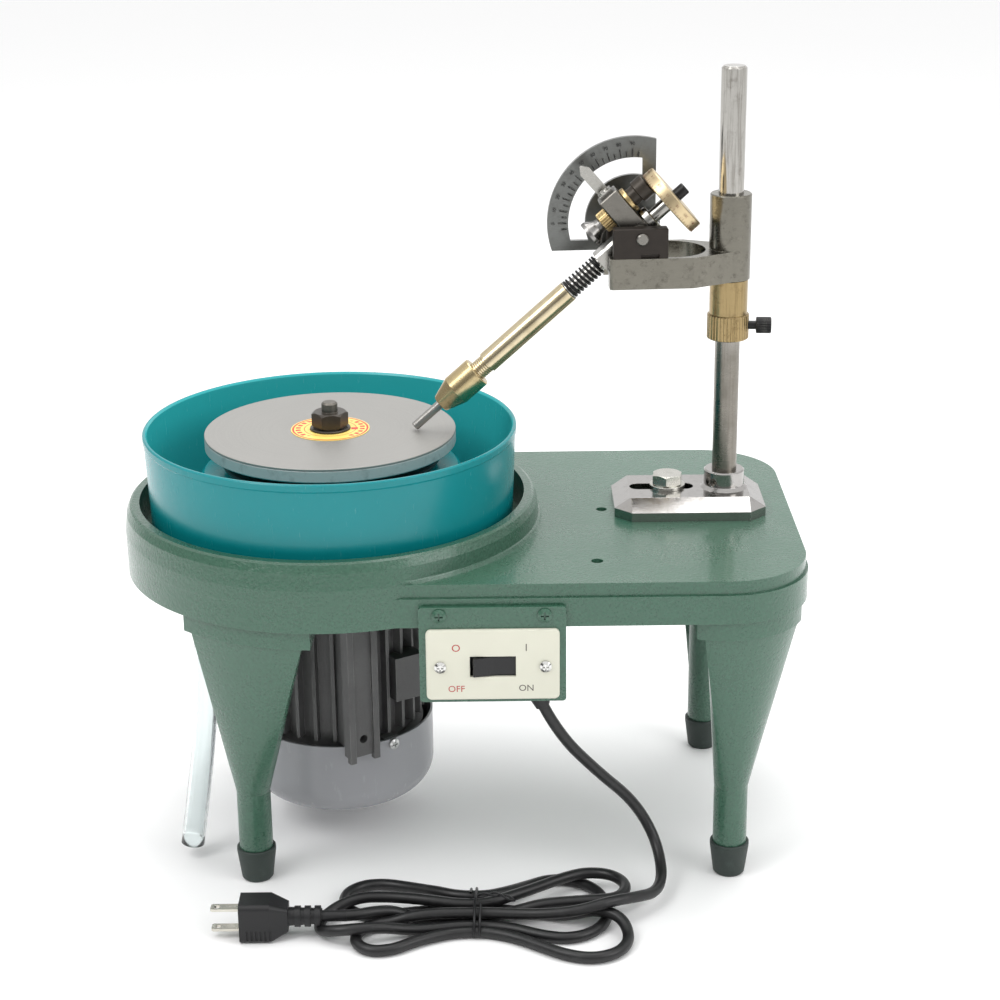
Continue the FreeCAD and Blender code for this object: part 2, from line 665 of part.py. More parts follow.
def stator_core():
    z0 = HOUSING_BOTTOM + 20
    body = tube(HOUSING_R - 4.5, 34.0, 56.0, (0, 0, z0))
    tooth = box(26.0, 34.5, -1.9, 1.9, z0, z0 + 56.0)
    for f in ring_of(tooth, 24):
        body = body.fuse(f)
    body = body.cut(cyl(25.0 + 0.5, 60, (0, 0, z0 - 1)))
    return body.removeSplitter()


def stator_windings():
    """The two end turns of the winding, standing out of the core."""
    z0 = HOUSING_BOTTOM + 20
    low = turned([(27.5, z0 - 11), (35.5, z0 - 11), (36.5, z0 - 1), (36.5, z0),
                  (26.5, z0), (26.5, z0 - 6)])
    z1 = z0 + 56.0
    high = turned([(27.5, z1 + 11), (35.5, z1 + 11), (36.5, z1 + 1), (36.5, z1),
                   (26.5, z1), (26.5, z1 + 6)])
    return [low, high]


def motor_studs():
    top = FLOOR_TOP
    out = []
    for x, y in motor_stud_points():
        low = HOUSING_TOP + 17.5
        s = cyl(2.5, top + 1 - low, (x, y, low))
        out.append(s.fuse(hexagon(8.0, 4.0, (x, y, top - FLOOR_THICK - 11.02))).removeSplitter())
    return out


def terminal_box():
    """Capacitor and terminal box on the shoulder of the motor."""
    b = box(FIN_R + 0.2, FIN_R + 17, -19, 19, HOUSING_TOP - 38, HOUSING_TOP - 4)
    lid = box(FIN_R + 17, FIN_R + 19, -20.5, 20.5, HOUSING_TOP - 39.5, HOUSING_TOP - 2.5)
    b = b.fuse(lid).fuse(box(HOUSING_R - 2, FIN_R + 1, -14, 14, HOUSING_TOP - 34, HOUSING_TOP - 8))
    b = b.cut(cyl(FIN_R + 0.2, 80, (0, 0, HOUSING_TOP - 60)))
    b.rotate(V(0, 0, 0), V(0, 0, 1), 6.0)
    return b.removeSplitter()


# ----------------------------------------------------------- spindle stack
SLINGER_Z = BOWL_STEP_TOP + COLLAR_H + 1.2
FLANGE_TOP = LAP_TOP - LAP_THICK - PLATE_THICK


def motor_shaft():
    """Shaft turned in one with the rotor's core; its top end is threaded."""
    top = STUD_TOP
    nut_top = LAP_TOP + WASHER_T + NUT_H
    z0 = HOUSING_BOTTOM + 20
    return turned([(0, HOUSING_BOTTOM - 28), (SHAFT_R, HOUSING_BOTTOM - 28), (SHAFT_R, z0 - 4),
                   (23.5, z0 - 4), (23.5, z0), (ROTOR_R, z0), (ROTOR_R, z0 + CORE_H),
                   (23.5, z0 + CORE_H), (23.5, z0 + CORE_H + 4), (SHAFT_R, z0 + CORE_H + 4),
                   (SHAFT_R, LAP_TOP - 0.2), (STUD_R, LAP_TOP - 0.2), (STUD_R, nut_top),
                   (STUD_END_R, nut_top), (STUD_END_R, top - 1.0),
                   (STUD_END_R - 1.0, top), (0, top)])


ROTOR_R = 25.0
CORE_H = 56.0
STUD_TOP = 270.6
STUD_R = 5.0
STUD_END_R = 4.8
WASHER_T = 1.6


def slinger():
    """Thrower disc and hub clamped under the backing plate."""
    return turned([
        (SHAFT_R, SLINGER_Z - 11), (15.0, SLINGER_Z - 11), (15.0, SLINGER_Z),
        (SLINGER_R - 1, SLINGER_Z), (SLINGER_R, SLINGER_Z + 0.8), (SLINGER_R, SLINGER_Z + 2.4),
        (SLINGER_R - 1, SLINGER_Z + 3.0), (32.0, SLINGER_Z + 3.0),
        (32.0, FLANGE_TOP), (SHAFT_R, FLANGE_TOP)])


def backing_plate():
    z0, z1 = FLANGE_TOP, FLANGE_TOP + PLATE_THICK
    return turned([(SHAFT_R, z0), (LAP_R - 0.8, z0), (LAP_R, z0 + 0.8), (LAP_R, z1 - 0.5),
                   (LAP_R - 0.5, z1), (SHAFT_R, z1)])


def diamond_lap():
    z1 = LAP_TOP
    z0 = z1 - LAP_THICK
    return turned([(SHAFT_R, z0), (LAP_R, z0), (LAP_R, z1 - 0.3), (LAP_R - 0.3, z1), (SHAFT_R, z1)])


def lap_label():
    return tube(LABEL_R, 12.2, 0.35, (0, 0, LAP_TOP))


def lap_washer():
    return turned([(5.0 + RUN, LAP_TOP), (12.0, LAP_TOP), (12.0, LAP_TOP + 1.2),
                   (11.5, LAP_TOP + 1.6), (5.0 + RUN, LAP_TOP + 1.6)])


def lap_nut():
    z = LAP_TOP + WASHER_T
    return hexagon(NUT_AF, NUT_H, (0, 0, z), start=8).cut(cyl(STUD_R, 20, (0, 0, z - 1)))


# ------------------------------------------------------------------ switch
FRONT = -(DECK_HALF + SKIRT_FLARE)
BRACKET_SCREW_Z = 182.0
PLATE_X = BRACKET_X + 3.8
PLATE_LOW = 131.6
ROCKER_X = PLATE_X + PLATE_W / 2.0
ROCKER_Z = PLATE_LOW + PLATE_H * 0.475


def bracket_screw_x():
    return (BRACKET_X + 11.4, BRACKET_X + BRACKET_W - 12.0)


def plate_screw_x():
    return (PLATE_X + 7.9, PLATE_X + PLATE_W - 7.9)


def switch_bracket():
    t, x0, x1 = BRACKET_T, BRACKET_X, BRACKET_X + BRACKET_W
    y0 = FRONT - t
    face = rounded_plate(x0, x1, BRACKET_LOW, BRACKET_HIGH, 2.0, y0, t)
    sides = [box(x, x + 2.2, FRONT - 0.5, FRONT + BRACKET_DEEP, BRACKET_LOW + 1.5,
                 SKIRT_BOTTOM - 0.4) for x in (x0 + 0.2, x1 - 2.4)]
    low = box(x0 + 0.2, x1 - 0.2, FRONT - 0.5, FRONT + BRACKET_DEEP, BRACKET_LOW + 0.5,
              BRACKET_LOW + 2.7)
    body = fused([face, low] + sides)
    body = body.cut(box(ROCKER_X - 17, ROCKER_X + 17, y0 - 1, FRONT + 1, ROCKER_Z - 9.5,
                        ROCKER_Z + 9.5))
    for x in bracket_screw_x():
        body = body.cut(cyl(2.2, 10, (x, y0 - 1, BRACKET_SCREW_Z), (0, 1, 0)))
    for x in plate_screw_x():
        body = body.cut(cyl(1.6, 10, (x, y0 - 1, ROCKER_Z), (0, 1, 0)))
    body = body.cut(cyl(6.0 + RUN, 10, (GLAND_X, GLAND_Y, BRACKET_LOW - 2)))
    return body.removeSplitter()


GLAND_X = 119.5
GLAND_Y = -106.0


def switch_plate():
    y0 = FRONT - BRACKET_T - PLATE_T
    body = rounded_plate(PLATE_X, PLATE_X + PLATE_W, PLATE_LOW, PLATE_LOW + PLATE_H, 3.0,
                         y0, PLATE_T)
    body = body.makeChamfer(0.6, [e for e in body.Edges if
                                  abs(e.CenterOfMass.y - y0) < 0.01])
    w, h = ROCKER_W / 2.0 + 0.4, ROCKER_H / 2.0 + 0.4
    body = body.cut(box(ROCKER_X - w, ROCKER_X + w, y0 - 1, y0 + 5, ROCKER_Z - h, ROCKER_Z + h))
    for x in plate_screw_x():
        body = body.cut(cyl(1.6, 10, (x, y0 - 1, ROCKER_Z), (0, 1, 0)))
    return body


def switch_body():
    y0 = FRONT - BRACKET_T
    w, h = ROCKER_W / 2.0, ROCKER_H / 2.0
    b = box(ROCKER_X - w - 2.5, ROCKER_X + w + 2.5, y0, y0 + 20, ROCKER_Z - h - 2.5,
            ROCKER_Z + h + 2.5)
    b = b.cut(box(ROCKER_X - w - 0.4, ROCKER_X + w + 0.4, y0 - 1, y0 + 10.5, ROCKER_Z - h - 0.4,
                  ROCKER_Z + h + 0.4))
    reach = ROCKER_H / 2.0 + 2.0
    b = b.cut(cyl(ROCKER_PIN_R + RUN, 2 * reach, (ROCKER_X, ROCKER_PIVOT_Y, ROCKER_Z - reach)))
    for dx in (-9, 0, 9):
        b = b.fuse(box(ROCKER_X + dx - 0.4, ROCKER_X + dx + 0.4, y0 + 19.9, y0 + 26,
                       ROCKER_Z - 2.4, ROCKER_Z + 2.4))
    return b.removeSplitter()


ROCKER_PIVOT_Y = FRONT - BRACKET_T + 3.2
ROCKER_PIN_R = 1.5


def rocker():
    """Two-way rocker turning about a vertical pin, standing tipped to O."""
    y0 = FRONT - BRACKET_T - PLATE_T
    w, h = ROCKER_W / 2.0 - 0.35, ROCKER_H / 2.0 - 0.3
    pts = [(-w, y0 + 0.2), (-w + 0.5, y0 - 0.6), (0, y0 + 1.1), (w - 0.5, y0 - 0.6),
           (w, y0 + 0.2), (w - 2.4, ROCKER_PIVOT_Y + 1.2), (3, ROCKER_PIVOT_Y + 3.0),
           (-3, ROCKER_PIVOT_Y + 3.0), (-w + 2.4, ROCKER_PIVOT_Y + 1.2)]
    s = prism([(ROCKER_X + x, y) for x, y in pts], ROCKER_Z - h, 2 * h)
    reach = ROCKER_H / 2.0 + 1.7
    s = s.fuse(cyl(ROCKER_PIN_R, 2 * reach, (ROCKER_X, ROCKER_PIVOT_Y, ROCKER_Z - reach)))
    s.rotate(V(ROCKER_X, ROCKER_PIVOT_Y, 0), V(0, 0, 1), ROCKER_TILT)
    return s


def face_screw(x, z, y, r, hole):
    """Domed cross-recess screw whose head sits on a face looking to -Y."""
    s = cyl(hole, 8.0, (x, y + 8.0 - 0.01, z), (0, -1, 0))
    s = s.fuse(cyl(r, 1.0, (x, y, z), (0, -1, 0)))
    s = s.fuse(cone(r, r * 0.55, 1.0, (x, y - 1.0, z), (0, -1, 0)))
    k = r * 0.55
    cross = box(x - k, x + k, y - 2.3, y - 0.9, z - 0.45, z + 0.45).fuse(
        box(x - 0.45, x + 0.45, y - 2.3, y - 0.9, z - k, z + k))
    return s.cut(cross).removeSplitter()


def bracket_screws():
    return [face_screw(x, BRACKET_SCREW_Z, FRONT - BRACKET_T, 4.1, 1.95)
            for x in bracket_screw_x()]


def plate_screws():
    return [face_screw(x, ROCKER_Z, FRONT - BRACKET_T - PLATE_T, 3.4, 1.55)
            for x in plate_screw_x()]


def cord_gland():
    """Strain relief in the floor of the bracket, its boot bent outwards."""
    z = BRACKET_LOW + 0.5
    body = turned([(0, z - 1.6), (7.6, z - 1.6), (7.6, z), (6.0, z), (6.0, z + 2.2),
                   (7.6, z + 2.2), (7.6, z + 5), (0, z + 5)], (GLAND_X, GLAND_Y))
    boot = cone(5.6, 4.4, BOOT_LEN, (GLAND_X, GLAND_Y, z), BOOT_DIR)
    return body.fuse(boot).removeSplitter()


BOOT_LEN = 11.0
BOOT_DIR = (0.42, 0.06, -0.905)


# -------------------------------------------------------------- mains cord
def power_cord():
    low = CORD_LOW + 0.4
    d = V(*BOOT_DIR)
    d.normalize()
    start = V(GLAND_X, GLAND_Y, BRACKET_LOW + 0.5) + d * BOOT_LEN
    first = start + d * 22.0
    pts = [tuple(start), tuple(first), (157.0, -93.0, 70.0), (178.0, -84.0, 47.0),
           (191.0, -88.0, 25.0), (194.0, -108.0, 9.0), (188.0, -126.0, low + 1.5),
           (HANK_RIGHT - 6.0, -146.0, low + 3.0)]
    return along_route(pts, CORD_R)


HANK_RIGHT = 175.5
HANK_LEFT = 2.0
TIE_X = 82.0
TIE_Y = -144.2
TIE_HALF = 18.0            # half the width of the bundle at its tie
TIE_RISE = 8.0             # half its height
PLUG_Y = -154.5
PLUG_Z = 12.2
LEAD_Z = 12.6              # height of the lead where it leaves the plug
TAIL = 14.0                # length of lead moulded on to the plug


def cord_hank():
    """The tied-up spare cord, as one block of its outer shape."""
    x0, x1, mid = HANK_LEFT, HANK_RIGHT, TIE_X
    stations = [(x0, 14.0, 4.6, -148.0), (x0 + 10, 34.0, 6.6, -141.0), (mid - 38, 34.0, 7.2, -140),
                (mid - 8, TIE_HALF, TIE_RISE, TIE_Y), (mid + 8, TIE_HALF, TIE_RISE, TIE_Y),
                (x1 - 56, 42.0, 7.4, -142), (x1 - 26, 46.0, 7.4, -145), (x1 - 9, 34.0, 6.8, -150),
                (x1, 16.0, 5.4, -164)]
    wires = []
    for x, hw, hh, y in stations:
        r = min(hh - 0.2, 5.2)
        z0, z1 = 0.3, 0.3 + 2 * hh
        k = r * (1 - math.sqrt(0.5))
        ring = [((y - hw, z0 + r), (y - hw + k, z0 + k), (y - hw + r, z0)),
                ((y + hw - r, z0), (y + hw - k, z0 + k), (y + hw, z0 + r)),
                ((y + hw, z1 - r), (y + hw - k, z1 - k), (y + hw - r, z1)),
                ((y - hw + r, z1), (y - hw + k, z1 - k), (y - hw, z1 - r))]
        e = []
        for i, (a, b, c) in enumerate(ring):
            n = ring[(i + 1) % 4][0]
            e.append(Part.Arc(*[V(x, q[0], q[1]) for q in (a, b, c)]).toShape())
            e.append(Part.makeLine(V(x, *c), V(x, *n)))
        wires.append(Part.Wire(e))
    return Part.makeLoft(wires, True, True)


def cord_tie():
    """Twisted wire tie round the middle of the hank."""
    x, y, hw, t = TIE_X, TIE_Y, TIE_HALF, 1.0
    top = 0.3 + 2 * TIE_RISE
    out = box(x - 1.4, x + 1.4, y - hw - t, y + hw + t, 0.05, top + t)
    core = box(x - 2, x + 2, y - hw, y + hw, 0.3, top)
    ear = cyl(1.3, 12, (x, y - 3, top + t + 0.2), (0.25, 1, 0.12))
    return out.cut(core).fuse(ear).removeSplitter()


def plug_body():
    """Moulded two-blade plug lying with its blades one above the other."""
    def sect(x, hy, hz, zc):
        r = min(hy, hz) * 0.35
        k = r * (1 - math.sqrt(0.5))
        y0, y1, z0, z1 = PLUG_Y - hy, PLUG_Y + hy, zc - hz, zc + hz
        ring = [((y0, z0 + r), (y0 + k, z0 + k), (y0 + r, z0)),
                ((y1 - r, z0), (y1 - k, z0 + k), (y1, z0 + r)),
                ((y1, z1 - r), (y1 - k, z1 - k), (y1 - r, z1)),
                ((y0 + r, z1), (y0 + k, z1 - k), (y0, z1 - r))]
        e = []
        for i, (a, b, c) in enumerate(ring):
            n = ring[(i + 1) % 4][0]
            e.append(Part.Arc(*[V(x, q[0], q[1]) for q in (a, b, c)]).toShape())
            e.append(Part.makeLine(V(x, *c), V(x, *n)))
        return Part.Wire(e)
    zc = PLUG_Z
    body = Part.makeLoft([sect(-49.5, 9.6, 12.0, zc), sect(-32, 9.6, 12.0, zc),
                          sect(-22.0, 6.4, 7.4, LEAD_Z)], True, True)
    neck = turned_x([(-23, 0), (-23, 5.4), (-3, 4.4), (-3, 0)], PLUG_Y, LEAD_Z)
    for x in (-18.5, -12.8, -7.1):
        neck = neck.fuse(cyl(6.0, 3.4, (x, PLUG_Y, LEAD_Z), (1, 0, 0)))
    body = body.fuse(neck).fuse(cyl(CORD_R, TAIL + 1.0, (-4.0, PLUG_Y, LEAD_Z), (1, 0, 0)))
    for i in range(6):
        body = body.cut(box(-45.5 + 2.6 * i, -44.3 + 2.6 * i, PLUG_Y - 12, PLUG_Y - 9.0, 2.5, 8.5))
    for z in (-6.35, 6.35):
        body = body.cut(box(-56, -41.5, PLUG_Y - 3.2, PLUG_Y + 3.2, zc + z - 0.8, zc + z + 0.8))
    return body.removeSplitter()


def plug_blades():
    out = []
    for z in (-6.35, 6.35):
        zc = PLUG_Z + z
        b = box(-66.0, -41.6, PLUG_Y - 3.15, PLUG_Y + 3.15, zc - 0.75, zc + 0.75)
        b = b.makeChamfer(0.9, [e for e in b.Edges if abs(e.CenterOfMass.x + 66.0) < 0.01
                                and abs(e.CenterOfMass.y - PLUG_Y) > 1])
        out.append(b.cut(cyl(1.6, 4, (-62.3, PLUG_Y, zc - 2))))
    return out


# ------------------------------------------------------------------ column
def column_base():
    """Slotted base plate with a boss that holds the rod."""
    x1 = ROD_X + BASE_END
    x0 = x1 - BASE_L
    hw, c = BASE_W / 2.0, 10.0

    def plan(d, z):
        pts = [(x0 + d, -hw + c), (x0 + c, -hw + d), (x1 - c, -hw + d), (x1 - d, -hw + c),
               (x1 - d, hw - c), (x1 - c, hw - d), (x0 + c, hw - d), (x0 + d, hw - c)]
        return Part.makePolygon([V(x, ROD_Y + y, z) for x, y in pts + pts[:1]])
    z0 = DECK_TOP
    low = Part.Face(plan(0, z0)).extrude(V(0, 0, BASE_BAND))
    top = Part.makeLoft([plan(0, z0 + BASE_BAND), plan(BASE_BEVEL, z0 + BASE_H)], True, True)
    body = low.fuse(top)
    boss = turned([(0, z0 + 2), (BOSS_R + 2.2, z0 + 2), (BOSS_R + 2.2, z0 + BASE_H),
                   (BOSS_R, z0 + BASE_H + 2.0), (BOSS_R, BOSS_TOP - 0.8),
                   (BOSS_R - 0.8, BOSS_TOP), (0, BOSS_TOP)], (ROD_X, ROD_Y))
    body = body.fuse(boss)
    slot = fused([box(ROD_X - SLOT_FAR + SLOT_R, ROD_X - SLOT_NEAR, ROD_Y - SLOT_R,
                      ROD_Y + SLOT_R, z0 - 1, z0 + 20),
                  cyl(SLOT_R, 21, (ROD_X - SLOT_FAR + SLOT_R, ROD_Y, z0 - 1)),
                  cyl(SLOT_R, 21, (ROD_X - SLOT_NEAR, ROD_Y, z0 - 1))])
    body = body.cut(slot).cut(cyl(ROD_R, 60, (ROD_X, ROD_Y, z0 + 1.5)))
    body = body.cut(cyl(2.5, 30, (ROD_X, ROD_Y, z0 + 17), (*polar(1, SET_SCREW_AT), 0)))
    return body.removeSplitter()


SET_SCREW_AT = 232.0


def column_set_screw():
    d = (*polar(1, SET_SCREW_AT), 0)
    a = polar(ROD_R + 0.1, SET_SCREW_AT, (ROD_X, ROD_Y))
    s = cyl(2.45, BOSS_R - ROD_R - 1.4, (a[0], a[1], DECK_TOP + 17), d)
    b = polar(BOSS_R - 3.0, SET_SCREW_AT, (ROD_X, ROD_Y))
    return s.cut(hexagon(2.5, 4, (b[0], b[1], DECK_TOP + 17), d))


def column_rod():
    z0 = DECK_TOP + 1.5
    return turned([(0, z0), (ROD_R, z0), (ROD_R, ROD_TOP - 1.2), (ROD_R - 1.2, ROD_TOP),
                   (0, ROD_TOP)], (ROD_X, ROD_Y))


def clamp_washer():
    x = ROD_X - BOLT_AT
    z = DECK_TOP + BASE_H + 0.1
    return turned([(0, z), (10.7, z), (10.7, z + 1.7), (10.4, z + 2.0), (0, z + 2.0)],
                  (x, ROD_Y))


def clamp_bolt():
    x = ROD_X - BOLT_AT
    z = DECK_TOP + BASE_H + 2.1
    shank = cyl(M10_R - RUN, z - 171 + 0.5, (x, ROD_Y, 171))
    head = hexagon(17.0, 6.6, (x, ROD_Y, z - 0.1), start=22)
    return fused([head, shank, clamp_washer()])


# ---------------------------------------------------------------- carriage
def place_arm(shape):
    shape = shape.copy()
    shape.rotate(V(0, 0, 0), V(0, 0, 1), SWING)
    shape.translate(V(ROD_X, ROD_Y, 0))
    return shape


def place_head(shape):
    shape = shape.copy()
    shape.rotate(V(0, 0, 0), V(0, 1, 0), -TILT)
    shape.translate(V(-PIVOT_U, -QUILL_W, PIVOT_Z))
    return place_arm(shape)


def height_sleeve():
    """Brass sleeve that carries the arm; its collar is clamped to the rod."""
    z0, z1 = SLEEVE_LOW + COLLAR_LEN, ARM_LOW - 0.15
    return turned([(ROD_R + RUN, z0), (SLEEVE_R, z0), (SLEEVE_R, z1 - 0.5),
                   (SLEEVE_R - 0.5, z1), (ROD_R + RUN, z1)])


def height_collar():
    z0 = SLEEVE_LOW
    s = knurled(COLLAR_R, COLLAR_LEN, (0, 0, z0), (0, 0, 1), 36, 0.3)
    s = s.cut(cyl(ROD_R + RUN, 40, (0, 0, z0 - 5)))
    p = polar(ROD_R - 3, CLAMP_AT, (0, -1.0))
    return s.cut(cyl(2.6, 20, (p[0], p[1], z0 + 8), (*polar(1, CLAMP_AT), 0)))


CLAMP_AT = -8.0


def height_clamp_screw():
    d = (*polar(1, CLAMP_AT), 0)
    z = SLEEVE_LOW + 8

    def at(r):
        p = polar(r, CLAMP_AT, (0, -1.0))
        return (p[0], p[1], z)
    stem = cyl(2.55, COLLAR_R + 4.2 - ROD_R - 0.3, at(ROD_R + 0.3), d)
    head = knurled(4.9, 9.0, at(COLLAR_R + 4.0), d, 20, 0.3)
    s = stem.fuse(head)
    return s.cut(hexagon(4.0, 4, at(COLLAR_R + 9.6), d)).removeSplitter()


def arm_bracket():
    """Plated arm: a hub on the rod, a round eye, and a fork for the head."""
    z0, t = ARM_LOW, ARM_T
    w, n = ARM_HALF, HUB_R * 0.55
    plan = [(-ARM_LEN + 1.5, -w), (-ARM_SHOULDER, -w), (HUB_R * 0.78, -n - 1.0),
            (HUB_R * 0.78, n + 1.0), (-ARM_SHOULDER, w), (-ARM_LEN + 1.5, w),
            (-ARM_LEN, w - 1.5), (-ARM_LEN, -w + 1.5)]
    body = prism(plan, z0, t)
    hub = turned([(0, z0), (HUB_R, z0), (HUB_R, HUB_TOP - 0.6), (HUB_R - 0.6, HUB_TOP),
                  (0, HUB_TOP)])
    body = body.fuse(hub)
    body = body.cut(cyl(RING_R, t + 2, (-RING_AT, 0, z0 - 1)))
    body = body.cut(box(-ARM_LEN - 1, -RING_AT - 5, -FORK_HALF, FORK_HALF, z0 - 1, z0 + t + 1))
    body = body.cut(cyl(ROD_R + RUN, 80, (0, 0, z0 - 1)))
    for x, y in block_screw_points():
        body = body.cut(cyl(2.0, t - 3.5, (x, y, z0 - 1)))
        body = body.cut(cyl(1.65, 6, (x, y, z0 + t - 5)))
    for dx in (-9.0, 9.0):
        body = body.cut(cyl(1.6, 9, (-PIVOT_U + dx, w - 5.5, QUAD_SCREW_Z), (0, 1, 0)))
    return body.removeSplitter()


FRONT_BLOCK_Y = -ARM_HALF + 0.3
REAR_BLOCK_Y = FORK_HALF + 1.0


QUAD_SCREW_Z = ARM_LOW + ARM_T - 5.0 + 1.6


def block_screw_points():
    fy = FRONT_BLOCK_Y + TRUNNION_T / 2.0
    ry = REAR_BLOCK_Y + TRUNNION_T / 2.0
    return [(-x, y) for y in (fy, ry) for x in (ARM_LEN - 7.0, ARM_LEN - 14.5)]


def trunnion_block(y0, notch):
    """Black block that carries one end of the pivot."""
    x0 = -PIVOT_U - 16.5
    z0 = ARM_LOW + ARM_T
    b = box(x0, x0 + TRUNNION_L, y0, y0 + TRUNNION_T, z0, z0 + TRUNNION_H)
    b = b.makeChamfer(0.5, [e for e in b.Edges if abs(e.CenterOfMass.z - z0) > 1])
    b = b.cut(cyl(PIN_R, 30, (-PIVOT_U, y0 - 5, PIVOT_Z), (0, 1, 0)))
    yc = y0 + TRUNNION_T / 2.0
    for x, y in block_screw_points():
        if abs(y - yc) < 1:
            b = b.cut(cyl(1.65, 9, (x, y, z0 - 1)))
    if notch:
        b = b.cut(box(-PIVOT_U - 1, -PIVOT_U + 10, y0 - 1, y0 + 2.0, z0 - 1, z0 + 2.5))
    return b


def block_screws():
    out = []
    for x, y in block_screw_points():
        z = ARM_LOW + ARM_T - 4.5
        s = cyl(1.6, 11.5, (x, y, z - 0.01)).fuse(cyl(1.95, 2.2, (x, y, z - 2.2)))
        out.append(s.removeSplitter())
    return out


def quad_plate():
    """Fixed quarter-circle scale, an open frame on the back of the arm."""
    t, y0 = QUAD_T, ARM_HALF
    x, z = -PIVOT_U, PIVOT_Z

    def disc(r):
        return cyl(r, t, (x, y0, z), (0, 1, 0))
    right = x + QUAD_RIGHT
    low = z - QUAD_LOW
    body = disc(QUAD_R).cut(disc(QUAD_IN))
    bars = [box(x - QUAD_R + 1, x, y0, y0 + t, low, low + QUAD_LOW_BAR),
            box(right - QUAD_RIGHT_BAR, right, y0, y0 + t, low, z + QUAD_R - 1)]
    sector_box = box(x - QUAD_R - 5, right, y0, y0 + t, low, z + QUAD_R + 5)
    body = fused([body, disc(QUAD_WINDOW)] + bars).common(disc(QUAD_R)).common(sector_box)
    deep = 0.3
    for i in range(21):
        a = 180 - 5 * (i - 1)
        reach = 5.0 if i % 2 == 1 else 3.2
        tick = box(QUAD_IN + 0.4, QUAD_IN + 0.4 + reach, -1, deep, -0.28, 0.28)
        tick.rotate(V(0, 0, 0), V(0, 1, 0), -a)
        tick.translate(V(x, y0, z))
        body = body.cut(tick)
    body = body.cut(cyl(PIN_R + 1.5, 20, (x, y0 - 5, z), (0, 1, 0)))
    for dx in (-9.0, 9.0):
        body = body.cut(cyl(1.6, 20, (x + dx, y0 - 5, QUAD_SCREW_Z), (0, 1, 0)))
    return body.removeSplitter()


def quad_screws():
    """Two screws that hold the scale to the back of the arm."""
    out = []
    for dx in (-9.0, 9.0):
        y = ARM_HALF + QUAD_T
        s = cyl(1.55, 8.0, (-PIVOT_U + dx, y - 8.0, QUAD_SCREW_Z), (0, 1, 0))
        out.append(s.fuse(cyl(2.9, 1.8, (-PIVOT_U + dx, y, QUAD_SCREW_Z), (0, 1, 0))))
    return out


def pivot_pins():
    """Two stub pins, pressed into the trunnion blocks."""
    x, z = -PIVOT_U, PIVOT_Z
    yf = FRONT_BLOCK_Y - 1.6
    ya = -QUILL_W - HEAD_DEEP / 2.0 + 2.6
    front = cyl(PIN_R, ya - yf, (x, yf, z), (0, 1, 0))
    front = front.makeChamfer(0.7, [e for e in front.Edges if abs(e.CenterOfMass.y - yf) < 0.01])
    yb = -QUILL_W + HEAD_DEEP / 2.0 - 2.6
    yr = REAR_BLOCK_Y + TRUNNION_T + 0.6
    rear = cyl(PIN_R, yr - yb, (x, yb, z), (0, 1, 0))
    return front, rear


# -------------------------------------------------------------------- head
HEAD_BACK = HEAD_T / 2.0 + 0.7
HEAD_FRONT = HEAD_BACK - HEAD_T


def head_block():
    """Tilting block that carries the quill and the index detent."""
    d = HEAD_DEEP / 2.0
    b = box(HEAD_FRONT, HEAD_BACK, -d, d, HEAD_LOW, HEAD_HIGH)
    b = b.makeChamfer(0.6, b.Edges)
    barrel = cyl(5.9, HEAD_DEEP + 2.2, (0, -d - 2.2, 0), (0, 1, 0))
    b = b.fuse(barrel)
    b = b.fuse(box(HEAD_FRONT - 0.5, HEAD_BACK, -d, d, HEAD_LOW + 1, 4))
    b = b.cut(cyl(QUILL_R + RUN, 60, (-30, 0, QUILL_UP), (1, 0, 0)))
    b = b.cut(cyl(2.6 + RUN, 60, (-30, 0, DETENT_UP), (1, 0, 0)))
    for s in (-1, 1):
        y = -d - 4 if s < 0 else d - 2.8
        b = b.cut(cyl(PIN_R + RUN, 6.8, (0, y, 0), (0, 1, 0)))
    return b.removeSplitter()


def quill_guide():
    """Square steel guide for the quill, fixed to the front of the block."""
    x1 = HEAD_FRONT - 0.5
    x0 = x1 - GUIDE_LEN
    h = GUIDE_W / 2.0
    g = box(x0, x1, -h, h, QUILL_UP - h, QUILL_UP + h)
    g = g.makeChamfer(1.6, [e for e in g.Edges if abs(e.CenterOfMass.x - (x0 + x1) / 2) < 0.01])
    return g.cut(cyl(QUILL_R + RUN, 60, (x0 - 5, 0, QUILL_UP), (1, 0, 0)))


def pointer():
    """Bent pointer on the end of the block, reading on the scale."""
    d = HEAD_DEEP / 2.0
    z0 = HEAD_HIGH
    foot_ = box(HEAD_FRONT + 2.0, HEAD_BACK - 2.0, d - 9.0, d - 0.2, z0, z0 + 1.6)
    blade = box(-3.4, 3.4, d - 1.9, d - 0.3, z0 + 0.5, 47.0)
    tip = prism([(-3.4, 0), (3.4, 0), (0.6, 3.8), (-0.6, 3.8)], 0, 1.6)
    tip.rotate(V(0, 0, 0), V(1, 0, 0), 90)
    tip.translate(V(0, d - 0.3, 47.0))
    s = fused([foot_, blade, tip])
    return s.cut(cyl(1.4, 8, (0, d - 5.6, z0 - 2)))


def pointer_screw():
    d = HEAD_DEEP / 2.0
    z = HEAD_HIGH + 1.6
    s = cyl(2.6, 1.5, (0, d - 5.6, z)).fuse(cyl(1.35, 1.7, (0, d - 5.6, z - 1.6)))
    return s.cut(box(-3, 3, d - 5.9, d - 5.3, z + 0.8, z + 3)).removeSplitter()


def lock_ring():
    return turned_x([(HEAD_BACK, 5.6), (HEAD_BACK + 0.4, 8.1), (HEAD_BACK + 2.4, 8.1),
                     (HEAD_BACK + 2.8, 7.7), (HEAD_BACK + 2.8, 5.6)], 0, DETENT_UP)


